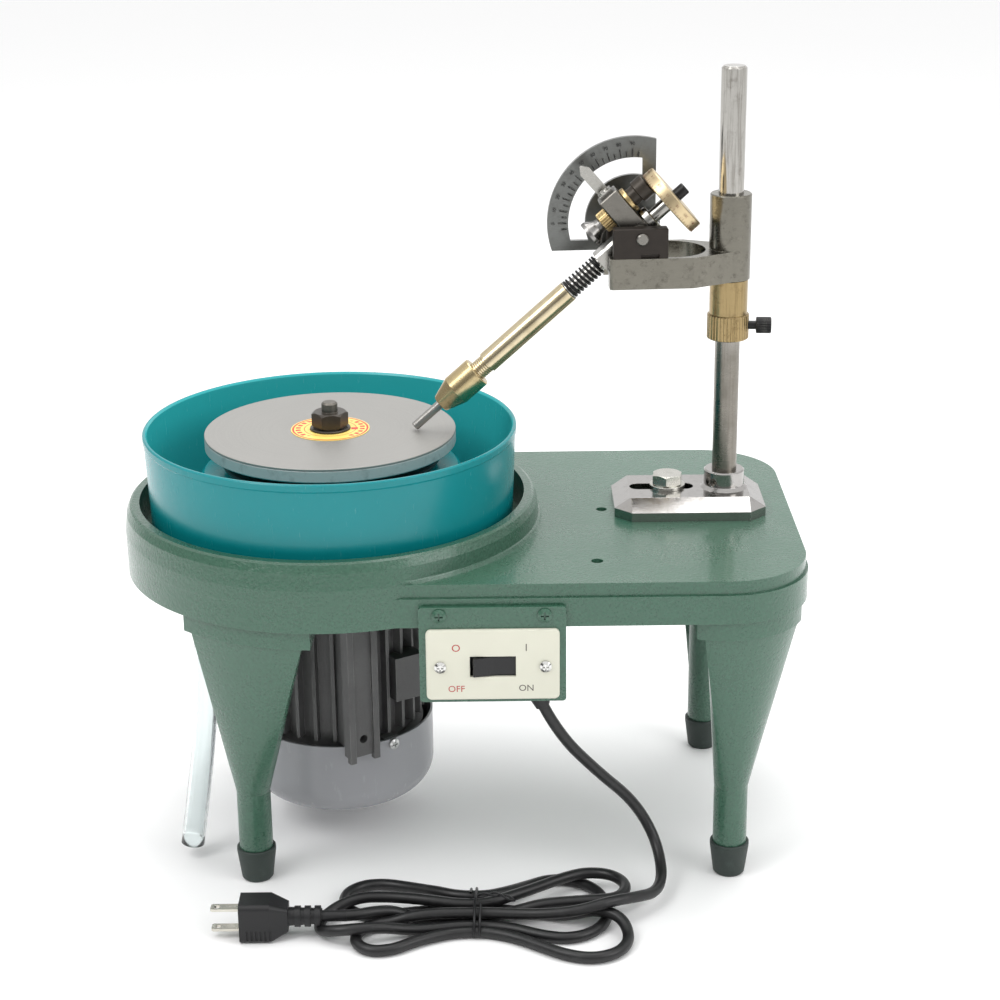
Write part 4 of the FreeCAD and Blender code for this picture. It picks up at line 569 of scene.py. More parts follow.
@dataclass(frozen=True)
class PaperLabel(Finish):
    """Printed paper disc: plain ground, coloured edge band, small generic bars."""

    origin: Point = (0.0, 0.0, 0.0)
    radius: float = 23.5 * MM
    ink: Colour = (0.62, 0.03, 0.02)

    def look(self, r: Recipe, spot: Signal) -> Look:
        """Yellow ground with a red rim, short red bars and a faint fibre."""
        x = r.along(spot, self.origin, (1.0, 0.0, 0.0))
        y = r.along(spot, self.origin, (0.0, 1.0, 0.0))
        reach = (x * x + y * y).root() / self.radius
        angle = y.turn(x) * (26.0 / (2.0 * math.pi))
        fibre = r.noise(spot, 0.6 * MM, 3.0)
        rim = reach.band(0.945, 0.022)
        bars = reach.band(0.82, 0.06) * (angle.fold() > 0.42) * (y.size() < self.radius * 0.62)
        seal = (((x - 0.62 * self.radius).size() < 0.085 * self.radius)
                * ((y + 0.02 * self.radius).size() < 0.085 * self.radius))
        line = reach.band(0.66, 0.010)
        print_on = (rim + bars * 0.8 + seal + line * 0.7).step(0.1, 0.6)
        ground = r.mix(tuple(c * 0.93 for c in self.colour), self.colour, fibre)
        worn = r.noise(spot, 4 * MM, 4.0).step(0.62, 0.75) * 0.2
        return Look(r.mix(r.mix(ground, self.ink, print_on), (0.85, 0.82, 0.70), worn),
                    self.roughness + (fibre - 0.5) * 0.2, height=fibre, depth=0.01 * MM,
                    fixed={"IOR": 1.45})


@dataclass(frozen=True)
class MattFloor(Finish):
    """Plain matt studio floor."""

    def look(self, r: Recipe, spot: Signal) -> Look:
        """Almost even, so that only soft shadows show."""
        cloud = r.noise(spot, 0.9, 2.0)
        return Look(self.shade(r, cloud, 0.004), self.roughness + (cloud - 0.5) * 0.02,
                    fixed={"Specular IOR Level": 0.12})


# ------------------------------------------------------------- where things are
class Tick(Enum):
    """Kinds of division on a scale, with the length of each in millimetres."""

    LONG = 5.0
    SHORT = 3.2

    @classmethod
    def at(cls, step: int) -> "Tick":
        """Every second division is a long one."""
        return cls.LONG if step % 2 == 1 else cls.SHORT


@dataclass(frozen=True)
class Place:
    """The machine's own axes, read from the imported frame."""

    spindle: Vector
    rod: Vector
    swing: float = math.radians(3.2)
    tilt: float = math.radians(41.3)
    pivot_out: float = 54.5 * MM
    pivot_up: float = 370.3 * MM
    quill_in_front: float = 5.0 * MM
    quill_up: float = 1.7 * MM

    @classmethod
    def read(cls) -> "Place":
        """Finds the spindle and the rod from their boxes."""
        def middle(node: str) -> Vector:
            """The middle of a node's plan, at floor level."""
            low, high = (Vector(v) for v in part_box(node))
            centre = (low + high) / 2.0
            return Vector((centre.x, centre.y, 0.0))
        return cls(middle("diamond_lap"), middle("column_rod"))

    def on_machine(self, x: float, y: float, z: float) -> Vector:
        """A point given in millimetres from the spindle axis at floor level."""
        return self.spindle + Vector((x, y, z)) * MM

    def arm(self) -> Matrix:
        """The frame of the arm: rod axis at the origin, the lap towards -X."""
        return Matrix.Translation(self.rod) @ Matrix.Rotation(self.swing, 4, "Z")

    def quill(self) -> Matrix:
        """The frame of the quill: its axis is X, away from the lap."""
        home = Matrix.Translation(Vector((-self.pivot_out, -self.quill_in_front, self.pivot_up)))
        up = Matrix.Translation(Vector((0.0, 0.0, self.quill_up)))
        return self.arm() @ home @ Matrix.Rotation(-self.tilt, 4, "Y") @ up


# --------------------------------------------------------------------- meshes
class MeshShop:
    """Makes mesh and curve objects from plain shapes."""

    @staticmethod
    def publish(name: str, shape: bmesh.types.BMesh, finish: Finish,
                smooth: bool = True) -> bpy.types.Object:
        """Turns a bmesh into an object with a finish."""
        bmesh.ops.recalc_face_normals(shape, faces=shape.faces[:])
        mesh = bpy.data.meshes.new(name)
        shape.to_mesh(mesh)
        shape.free()
        if smooth:
            mesh.shade_smooth()
        made = bpy.data.objects.new(name, mesh)
        bpy.context.scene.collection.objects.link(made)
        mesh.materials.append(finish.material())
        return made

    @staticmethod
    def brick(shape: bmesh.types.BMesh, low: Point, high: Point, place: Matrix) -> None:
        """Adds a rectangular bar.

        Args:
            shape: the mesh that receives it.
            low: lowest corner in its own frame.
            high: highest corner in its own frame.
            place: where its own frame stands.
        """
        size = [b - a for a, b in zip(low, high)]
        middle = Vector([(a + b) / 2.0 for a, b in zip(low, high)])
        grown = bmesh.ops.create_cube(shape, size=1.0)
        bmesh.ops.transform(shape, verts=grown["verts"],
                            matrix=place @ Matrix.Translation(middle)
                            @ Matrix.Diagonal((*size, 1.0)))

    @staticmethod
    def hose(shape: bmesh.types.BMesh, path: Sequence[Vector], radius: float,
             count: int) -> List[List[Any]]:
        """Sweeps a round section along an open path.

        Args:
            shape: the mesh that receives it.
            path: points of its centre line.
            radius: radius of the section.
            count: corners round the section.

        Returns:
            The rings of vertices.
        """
        steps = len(path)
        side: Optional[Vector] = None
        rings: List[List[Any]] = []
        for i, at in enumerate(path):
            ahead = path[min(i + 1, steps - 1)] - path[max(i - 1, 0)]
            ahead.normalize()
            if side is None:
                side = ahead.orthogonal().normalized()
            side = (side - ahead * side.dot(ahead)).normalized()
            other = ahead.cross(side)
            rings.append([shape.verts.new(at + (side * math.cos(2 * math.pi * k / count)
                                                + other * math.sin(2 * math.pi * k / count))
                                          * radius) for k in range(count)])
        for a, b in zip(rings, rings[1:]):
            for k in range(count):
                shape.faces.new((a[k], a[(k + 1) % count], b[(k + 1) % count], b[k]))
        return rings

    @staticmethod
    def wire(shape: bmesh.types.BMesh, path: Sequence[Vector], radius: float,
             count: int) -> None:
        """Sweeps a round section along an open path and closes both ends.

        Args:
            shape: the mesh that receives it.
            path: points of its centre line.
            radius: radius of the section.
            count: corners round the section.
        """
        rings = MeshShop.hose(shape, path, radius, count)
        for ring in (rings[0], rings[-1]):
            shape.faces.new(ring)

    @staticmethod
    def spline(name: str, points: Sequence[Vector], radius: float,
               finish: Optional[Finish]) -> bpy.types.Object:
        """Makes one smooth open curve with the points as its control points."""
        curve = bpy.data.curves.new(name, "CURVE")
        curve.dimensions = "3D"
        curve.resolution_u = 10
        curve.bevel_depth = radius
        curve.bevel_resolution = 5
        curve.use_fill_caps = True
        run = curve.splines.new("NURBS")
        run.points.add(len(points) - 1)
        for knot, at in zip(run.points, points):
            knot.co = (*at, 1.0)
        run.order_u = 3
        run.use_endpoint_u = True
        made = bpy.data.objects.new(name, curve)
        bpy.context.scene.collection.objects.link(made)
        if finish is not None:
            curve.materials.append(finish.material())
        return made

    @staticmethod
    def smooth_path(points: Sequence[Vector]) -> List[Vector]:
        """The points along the smooth curve that the control points give."""
        helper = MeshShop.spline("helper_line", points, 0.0, None)
        bpy.context.view_layer.update()
        line = bpy.data.meshes.new_from_object(helper)
        path = [v.co.copy() for v in line.vertices]
        bpy.data.meshes.remove(line)
        old = helper.data
        bpy.data.objects.remove(helper)
        bpy.data.curves.remove(old)
        return path

    @staticmethod
    def figures(shape: bmesh.types.BMesh, words: str, height: float, place: Matrix,
                thick: float = 0.03 * MM) -> None:
        """Adds plain figures as thin raised ink.

        Args:
            shape: the mesh that receives them.
            words: the figures.
            height: height of a capital.
            place: frame whose X runs along the figures and Y stands up.
            thick: how far the ink stands off.
        """
        text = bpy.data.curves.new("figures", "FONT")
        text.body = words
        text.align_x = "CENTER"
        text.align_y = "CENTER"
        text.size = height * 1.4
        text.extrude = thick
        text.resolution_u = 3
        holder = bpy.data.objects.new("figures", text)
        bpy.context.scene.collection.objects.link(holder)
        bpy.context.view_layer.update()
        mesh = bpy.data.meshes.new_from_object(holder)
        mesh.transform(place)
        shape.from_mesh(mesh)
        bpy.data.meshes.remove(mesh)
        bpy.data.objects.remove(holder)
        bpy.data.curves.remove(text)


def dress(nodes: Mapping[str, bpy.types.Object], wear: Mapping[str, Finish]) -> None:
    """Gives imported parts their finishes.

    Args:
        nodes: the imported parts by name.
        wear: the finish for each part.
    """
    for name, finish in wear.items():
        part = nodes[name]
        made = finish.material()
        if not part.material_slots:
            part.data.materials.append(made)
        for slot in part.material_slots:
            slot.material = made
        log.info("dressed %s in %s", name, finish.name)


# ----------------------------------------------------------------- assemblies
@dataclass
class Body:
    """The green casting with its legs, feet, bowl, drain and fixings."""

    place: Place
    nodes: Mapping[str, bpy.types.Object]
    enamel: HammeredEnamel = HammeredEnamel("green hammered enamel", (0.032, 0.104, 0.064), 0.30)
    feet: Rubber = Rubber("dark green rubber", (0.022, 0.034, 0.029), 0.55)
    zinc: BrushedMetal = BrushedMetal("zinc plate", (0.62, 0.63, 0.62), 0.32, grain=0.3 * MM)
    hose_bore: float = 5.4 * MM
    hose_radius: float = 7.0 * MM
    hose_sides: int = 32
    hose_route: Tuple[Point, ...] = ((-73.174, -58.205, 172.0), (-73.674, -58.205, 120.0),
                                     (-79.174, -58.705, 66.0), (-88.674, -59.705, 9.0))

    def build(self) -> None:
        """Dresses the parts and makes the drain hose."""
        teal = BowlPlastic("teal moulding", (0.003, 0.225, 0.245), 0.24, glow=0.04,
                           origin=tuple(self.place.spindle))
        green = dict.fromkeys(["base_casting", "leg_front_left", "leg_front_right",
                               "leg_rear_left", "leg_rear_right", "switch_bracket",
                               "bracket_screws"], self.enamel)
        dress(self.nodes, {**green, "rubber_feet": self.feet, "splash_bowl": teal,
                           "base_fixings": self.zinc,
                           "drain_nozzle": MouldedPlastic("black nozzle", (0.02, 0.02, 0.022),
                                                          0.4)})
        self.make_hose()

    def make_hose(self) -> None:
        """Makes the clear drain hose with its real wall, open at both ends."""
        route = [self.place.on_machine(*p) for p in self.hose_route]
        path = MeshShop.smooth_path(route)
        shape = bmesh.new()
        sides = self.hose_sides
        outer = MeshShop.hose(shape, path, self.hose_radius, sides)
        inner = MeshShop.hose(shape, path, self.hose_bore, sides)
        for ring_out, ring_in in ((outer[0], inner[0]), (outer[-1], inner[-1])):
            for k in range(sides):
                after = (k + 1) % sides
                shape.faces.new((ring_out[k], ring_out[after], ring_in[after], ring_in[k]))
        hose = MeshShop.publish("clear_hose", shape,
                                ClearVinyl("clear vinyl", (0.86, 0.90, 0.90), 0.12, edge=0.0))
        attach(hose, "base")
        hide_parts("drain_hose")
        log.info("clear_hose: %d points on its line", len(path))


@dataclass
class Drive:
    """The motor under the casting and everything that turns with its shaft."""

    place: Place
    nodes: Mapping[str, bpy.types.Object]
    stud_dark: Tuple[float, float] = (258.0 * MM, 264.0 * MM)

    def build(self) -> None:
        """Dresses the motor, the spindle, the lap and its label."""
        axis = tuple(self.place.spindle)
        cast = CastGrey("grey motor casting", (0.112, 0.112, 0.112), 0.48)
        dress(self.nodes, {
            "motor_housing": cast,
            "motor_end_bells": cast,
            "fan_cover": MouldedPlastic("grey fan cover enamel", (0.36, 0.365, 0.385), 0.25,
                                        grain=0.9 * MM, deep=0.03 * MM),
            "stator": BrushedMetal("stator laminations", (0.30, 0.26, 0.22), 0.5,
                                   stretch=(8.0, 8.0, 1.0)),
            "bearings": TurnedMetal("bearing steel", (0.62, 0.63, 0.64), 0.22, origin=axis,
                                    tarnish=(0.3, 0.3, 0.3)),
            "terminal_box": MouldedPlastic("black terminal box", (0.018, 0.018, 0.02), 0.42,
                                           deep=0.03 * MM),
            "cooling_fan": MouldedPlastic("black fan", (0.03, 0.03, 0.033), 0.45),
            "motor_shaft": TurnedMetal("ground shaft", (0.50, 0.48, 0.44), 0.28, origin=axis,
                                       pitch=0.9 * MM, tarnish=(0.10, 0.09, 0.075),
                                       dull=self.stud_dark),
            "slinger": Rubber("black slinger", (0.018, 0.02, 0.022), 0.4, bloom=0.5),
            "backing_plate": TurnedMetal("turned aluminium", (0.46, 0.49, 0.49), 0.46,
                                         origin=axis, pitch=0.3 * MM, metal=0.35,
                                         tarnish=(0.22, 0.24, 0.24), stain=0.5),
            "diamond_lap": DiamondFace("diamond face", (0.315, 0.308, 0.292), 0.44, origin=axis),
            "lap_label": PaperLabel("lap label", (0.90, 0.67, 0.17), 0.38, origin=axis),
            "lap_nut": DarkOxide("dark lap nut", (0.050, 0.042, 0.034), 0.34,
                                 bare=(0.26, 0.22, 0.18)),
        })


class Ink(Enum):
    """The two inks on the switch plate."""

    RED = MouldedPlastic("red ink", (0.42, 0.035, 0.03), 0.5, edge=0.0)
    GREY = MouldedPlastic("grey ink", (0.10, 0.085, 0.075), 0.5, edge=0.0)


@dataclass
class Switch:
    """The switch plate under the front skirt, with its marks."""

    nodes: Mapping[str, bpy.types.Object]
    letter: float = 3.9 * MM
    marks: Tuple[Tuple[str, float, float, float, Ink], ...] = (
        ("OFF", 0.225, 0.155, 1.0, Ink.RED), ("O", 0.225, 0.74, 1.15, Ink.RED),
        ("ON", 0.75, 0.160, 1.0, Ink.GREY), ("I", 0.75, 0.74, 1.15, Ink.GREY))

    def build(self) -> None:
        """Dresses the switch and prints its marks."""
        dress(self.nodes, {
            "switch_plate": MouldedPlastic("cream moulding", (0.68, 0.675, 0.57), 0.36,
                                           glow=0.15),
            "switch_body": MouldedPlastic("black switch frame", (0.012, 0.012, 0.013), 0.35),
            "rocker": MouldedPlastic("black rocker", (0.010, 0.010, 0.011), 0.22),
            "plate_screws": BrushedMetal("bright screws", (0.68, 0.68, 0.66), 0.2,
                                         stretch=(2.0, 2.0, 1.0)),
        })
        low, high = (Vector(v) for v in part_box("switch_plate"))
        width, height = high.x - low.x, high.z - low.z
        for ink in Ink:
            shape = bmesh.new()
            chosen = [mark for mark in self.marks if mark[4] is ink]
            for words, across, up, size, _ in chosen:
                at = Vector((low.x + width * across, low.y, low.z + height * up))
                turn = Matrix.Translation(at) @ Matrix.Rotation(math.radians(90), 4, "X")
                MeshShop.figures(shape, words, self.letter * size, turn)
            piece = MeshShop.publish("switch_marks_" + ink.name.lower(), shape, ink.value,
                                     smooth=False)
            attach(piece, "base")
            log.info("%s: %d words", piece.name, len(chosen))


@dataclass
class Lead:
    """The mains lead: gland, free run, loose hank with its tie, and plug.

    The control points were placed by hand, then moved by a separate relaxation
    for clearance between turns and wider folds. They are in millimetres from
    the spindle axis at floor level.
    """

    place: Place
    nodes: Mapping[str, bpy.types.Object]
    radius: float = 3.3 * MM
    tie_top: float = 17.3 * MM
    tie_wire: float = 0.75 * MM
    tie_pitch: float = 3.2 * MM
    tail_steps: int = 14
    tail_twist: float = 9.0
    run: Tuple[Point, ...] = (
        (124.12, -105.34, 120.04), (133.4, -104.0, 100.1), (157.0, -93.0, 70.0),
        (178.0, -84.0, 47.0), (191.0, -88.0, 25.0), (194.5, -108.0, 11.0),
        (189.4, -126.3, 8.9), (177.1, -140.0, 14.1), (161.5, -150.4, 17.5),
        (143.3, -154.8, 14.1), (124.7, -153.7, 11.5), (107.3, -150.1, 9.9),
        (90.0, -147.6, 9.4), (74.0, -147.5, 9.4))
    near_left: Tuple[Point, ...] = (
        (60.6, -148.1, 9.6), (47.6, -149.9, 9.1), (35.4, -150.8, 5.8), (23.3, -151.7, 4.6),
        (16.0, -160.3, 3.9), (17.0, -171.0, 3.6), (25.8, -178.2, 3.5), (38.3, -176.5, 3.6),
        (49.0, -168.8, 3.6), (61.1, -162.8, 3.5), (74.0, -158.8, 3.6), (90.0, -158.6, 3.6))
    front_right: Tuple[Point, ...] = (
        (106.0, -164.4, 3.5), (120.1, -174.1, 3.6), (134.1, -184.1, 3.6),
        (150.3, -188.8, 3.6), (165.3, -182.2, 3.6), (171.9, -167.5, 3.9),
        (167.3, -153.4, 9.7), (152.8, -146.9, 10.3), (137.9, -144.1, 4.7),
        (122.1, -139.6, 3.5), (106.1, -136.0, 3.5), (90.0, -134.0, 3.6),
        (74.0, -134.0, 3.6))
    far_left: Tuple[Point, ...] = (
        (59.4, -134.8, 3.6), (45.1, -136.8, 3.5), (31.3, -140.2, 3.5), (17.4, -139.1, 3.5),
        (7.9, -129.1, 3.5), (7.2, -115.4, 3.6), (16.2, -105.4, 3.6), (29.5, -103.4, 3.6),
        (42.1, -107.6, 4.0), (53.0, -114.6, 6.0), (63.1, -122.2, 8.5), (74.0, -128.4, 9.4),
        (90.0, -129.4, 9.4))
    far_right: Tuple[Point, ...] = (
        (103.7, -120.9, 7.7), (114.6, -109.2, 4.4), (127.9, -100.3, 3.6),
        (143.8, -102.4, 3.6), (155.3, -113.6, 3.6), (160.3, -129.1, 3.5),
        (160.3, -145.7, 3.5), (152.3, -160.2, 3.5), (137.3, -167.6, 3.6),
        (121.1, -163.5, 3.6), (106.1, -156.2, 3.9), (90.0, -152.2, 3.6),
        (74.0, -152.2, 3.6))
    low_left: Tuple[Point, ...] = (
        (60.2, -154.9, 3.7), (46.6, -158.3, 5.1), (33.6, -161.8, 8.9),
        (20.3, -165.5, 10.8), (6.4, -166.2, 9.8), (-4.5, -158.9, 5.2), (-5.3, -145.2, 4.3),
        (4.5, -136.1, 8.1), (17.6, -132.6, 11.7), (31.7, -132.0, 11.4),
        (45.8, -134.1, 11.6), (59.8, -136.9, 11.3), (74.0, -138.4, 9.8),
        (90.0, -138.4, 9.7))
    mid_right: Tuple[Point, ...] = (
        (105.7, -131.2, 10.8), (120.1, -121.5, 10.4), (134.0, -111.8, 10.5),
        (148.9, -105.0, 10.7), (164.5, -108.3, 11.0), (172.9, -121.5, 11.2),
        (167.5, -136.0, 11.3), (152.9, -141.3, 13.1), (137.2, -140.9, 12.0),
        (121.2, -141.2, 10.7), (105.8, -142.7, 6.8), (90.0, -143.0, 3.6),
        (74.0, -143.0, 3.6))
    to_plug: Tuple[Point, ...] = (
        (60.7, -143.4, 3.5), (48.0, -143.4, 4.3), (36.7, -143.8, 9.2),
        (26.6, -149.2, 11.9), (16.4, -154.0, 12.6), (10.6, -154.5, 12.6))

    def build(self) -> None:
        """Dresses the plug and the gland, and makes the lead and its tie."""
        black = MouldedPlastic("black plug moulding", (0.014, 0.014, 0.015), 0.42,
                               grain=0.8 * MM, deep=0.05 * MM)
        dress(self.nodes, {
            "plug_body": black,
            "plug_blades": BrushedMetal("nickel blades", (0.66, 0.63, 0.56), 0.24,
                                        stretch=(12.0, 1.0, 1.0), blotch=0.2),
            "cord_gland": Rubber("black gland", (0.012, 0.012, 0.013), 0.5, bloom=0.2)})
        parts = (self.run, self.near_left, self.front_right, self.far_left, self.far_right,
                 self.low_left, self.mid_right, self.to_plug)
        points = [self.place.on_machine(*p) for part in parts for p in part]
        rubber = Rubber("black lead rubber", (0.0095, 0.0095, 0.010), 0.40, edge=0.0, bloom=0.30)
        lead = MeshShop.spline("mains_lead", points, self.radius, rubber)
        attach(lead, "base")
        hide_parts("power_cord", "cord_hank")
        2 * self.radius
        self.make_tie()
        log.info("mains_lead: %d control points", len(points))

    def make_tie(self) -> bpy.types.Object:
        """Makes the wire tie: two turns round the bundle and a twisted tail."""
        low, high = (Vector(v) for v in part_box("cord_tie"))
        top, wire = self.tie_top, self.tie_wire
        front, back, floor = low.y + 0.7 * MM, high.y - 0.7 * MM, low.z + 0.9 * MM
        start = (low.x + high.x) / 2.0 - 2.0 * MM
        # one turn, as millimetres along the bundle, then across it and up
        turn = ((0.0, back - 12.0 * MM, top - 0.5 * MM), (0.4, back - 2.4 * MM, top - 2.0 * MM),
                (0.6, back, top - 8.0 * MM), (0.9, back - 1.0 * MM, floor),
                (1.2, back - 18.0 * MM, floor), (1.5, front + 1.0 * MM, floor),
                (1.8, front, top - 12.0 * MM), (2.2, front + 4.0 * MM, top - 4.5 * MM),
                (2.6, front + 14.0 * MM, top - 0.5 * MM))
        turns = [Vector((start + i * self.tie_pitch + along * MM, across, up))
                 for i in range(2) for along, across, up in turn]
        shape = bmesh.new()
        MeshShop.hose(shape, MeshShop.smooth_path(turns), wire, 10)
        knot = Vector((start + 4.5 * MM, back - 17.5 * MM, top + 0.4 * MM))
        for side in (0.0, math.pi):
            tail: List[Vector] = []
            for i in range(self.tail_steps + 1):
                run = i / self.tail_steps
                swing = side + run * self.tail_twist
                spread = (0.9 + 2.2 * max(0.0, run - 0.75)) * MM
                lift = 3.0 * math.sin(run * 3.0) - 2.0 * run
                tail.append(knot + Vector((21.0 * run, -3.0 * run, lift)) * MM
                            + Vector((0.0, math.cos(swing), math.sin(swing))) * spread)
            MeshShop.wire(shape, tail, wire * 0.85, 10)
        tie = MeshShop.publish("wire_tie", shape,
                               MouldedPlastic("black tie skin", (0.011, 0.011, 0.012), 0.33,
                                              edge=0.0))
        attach(tie, "base")
        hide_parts("cord_tie")
        return tie


@dataclass
class Mast:
    """Base plate, rod, clamp bolt, height collar and its screw."""

    place: Place
    nodes: Mapping[str, bpy.types.Object]
    # painted shade: the rod is darkened from 330 mm down, fully below 290 mm
    rod_dark: Tuple[float, float] = (330.0 * MM, 290.0 * MM)

    def build(self) -> None:
        """Dresses the mast."""
        rod = tuple(self.place.rod)
        brass = TurnedMetal("turned brass", (0.36, 0.27, 0.135), 0.25, origin=rod,
                            tarnish=(0.15, 0.10, 0.045), stain=0.45, streak=0.35)
        dress(self.nodes, {
            "column_base": BrushedMetal("bright nickel base", (0.40, 0.388, 0.375), 0.16,
                                        stretch=(10.0, 1.0, 1.0), blotch=0.16,
                                        relief=0.006 * MM),
            "column_rod": TurnedMetal("polished rod", (0.50, 0.485, 0.455), 0.17, origin=rod,
                                      pitch=0.5 * MM, tarnish=(0.17, 0.155, 0.13), stain=0.35,
                                      dull=self.rod_dark, streak=0.45),
            "clamp_bolt": BrushedMetal("zinc bolt", (0.54, 0.53, 0.49), 0.28,
                                       stretch=(1.0, 1.0, 3.0), blotch=0.25),
            "height_collar": brass,
            "height_clamp_screw": DarkOxide("black clamp screw", (0.014, 0.014, 0.014), 0.36),
        })


@dataclass
class Arm:
    """The plated arm with its trunnions and the engraved scale."""

    place: Place
    nodes: Mapping[str, bpy.types.Object]
    scale_inner: float = 38.5 * MM
    scale_front: float = 24.0 * MM
    figure: float = 2.1 * MM
    ticks: int = 21
    tick_step: float = 5.0
    ink: DarkOxide = DarkOxide("engraving black", (0.010, 0.010, 0.010), 0.5, edge=0.0)

    def build(self) -> None:
        """Dresses the arm and fills the scale's engraving."""
        block = DarkOxide("brown black block", (0.026, 0.020, 0.016), 0.42,
                          bare=(0.20, 0.16, 0.13))
        dress(self.nodes, {
            # rim sets the painted edge highlight, strong on the arm
            "arm_bracket": BrushedMetal("plated arm", (0.205, 0.195, 0.165), 0.25,
                                        stretch=(16.0, 16.0, 1.0), blotch=0.50,
                                        dark=(0.07, 0.064, 0.052), relief=0.02 * MM,
                                        rim=2.4),
            "trunnion_front": block, "trunnion_rear": block,
            "pivot_pins": BrushedMetal("pin steel", (0.24, 0.23, 0.21), 0.28, blotch=0.3),
            # rim sets the painted edge highlight, strongest on the scale plate
            "scale_plate": BrushedMetal("satin scale steel", (0.19, 0.195, 0.187), 0.33,
                                        stretch=(9.0, 1.0, 1.0), blotch=0.30, rim=3.4),
        })
        self.make_marks()

    def make_marks(self) -> None:
        """Fills the ticks with black and adds the plain degree figures."""
        arm = self.place.arm()
        shape = bmesh.new()
        centre = Vector((-self.place.pivot_out, self.scale_front, self.place.pivot_up))
        for i in range(self.ticks):
            angle = math.radians(180.0 - self.tick_step * (i - 1))
            tick = Tick.at(i)
            turn = (arm @ Matrix.Translation(centre) @ Matrix.Rotation(-angle, 4, "Y"))
            end = self.scale_inner + (0.35 + tick.value) * MM
            MeshShop.brick(shape, (self.scale_inner + 0.45 * MM, 0.03 * MM, -0.26 * MM),
                           (end, 0.29 * MM, 0.26 * MM), turn)
            if tick is Tick.LONG:
                number = round((i - 1) * self.tick_step)
                out = Vector((math.cos(angle), 0.0, math.sin(angle)))
                right = Vector((math.sin(angle), 0.0, -math.cos(angle)))
                at = centre + out * (self.scale_inner + 8.3 * MM)
                frame = Matrix((right, out, Vector((0.0, -1.0, 0.0)))).transposed().to_4x4()
                MeshShop.figures(shape, str(number), self.figure,
                                 arm @ Matrix.Translation(at) @ frame)
        piece = MeshShop.publish("scale_marks", shape, self.ink, smooth=False)
        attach(piece, "arm")
        log.info("scale_marks: %d ticks", self.ticks)


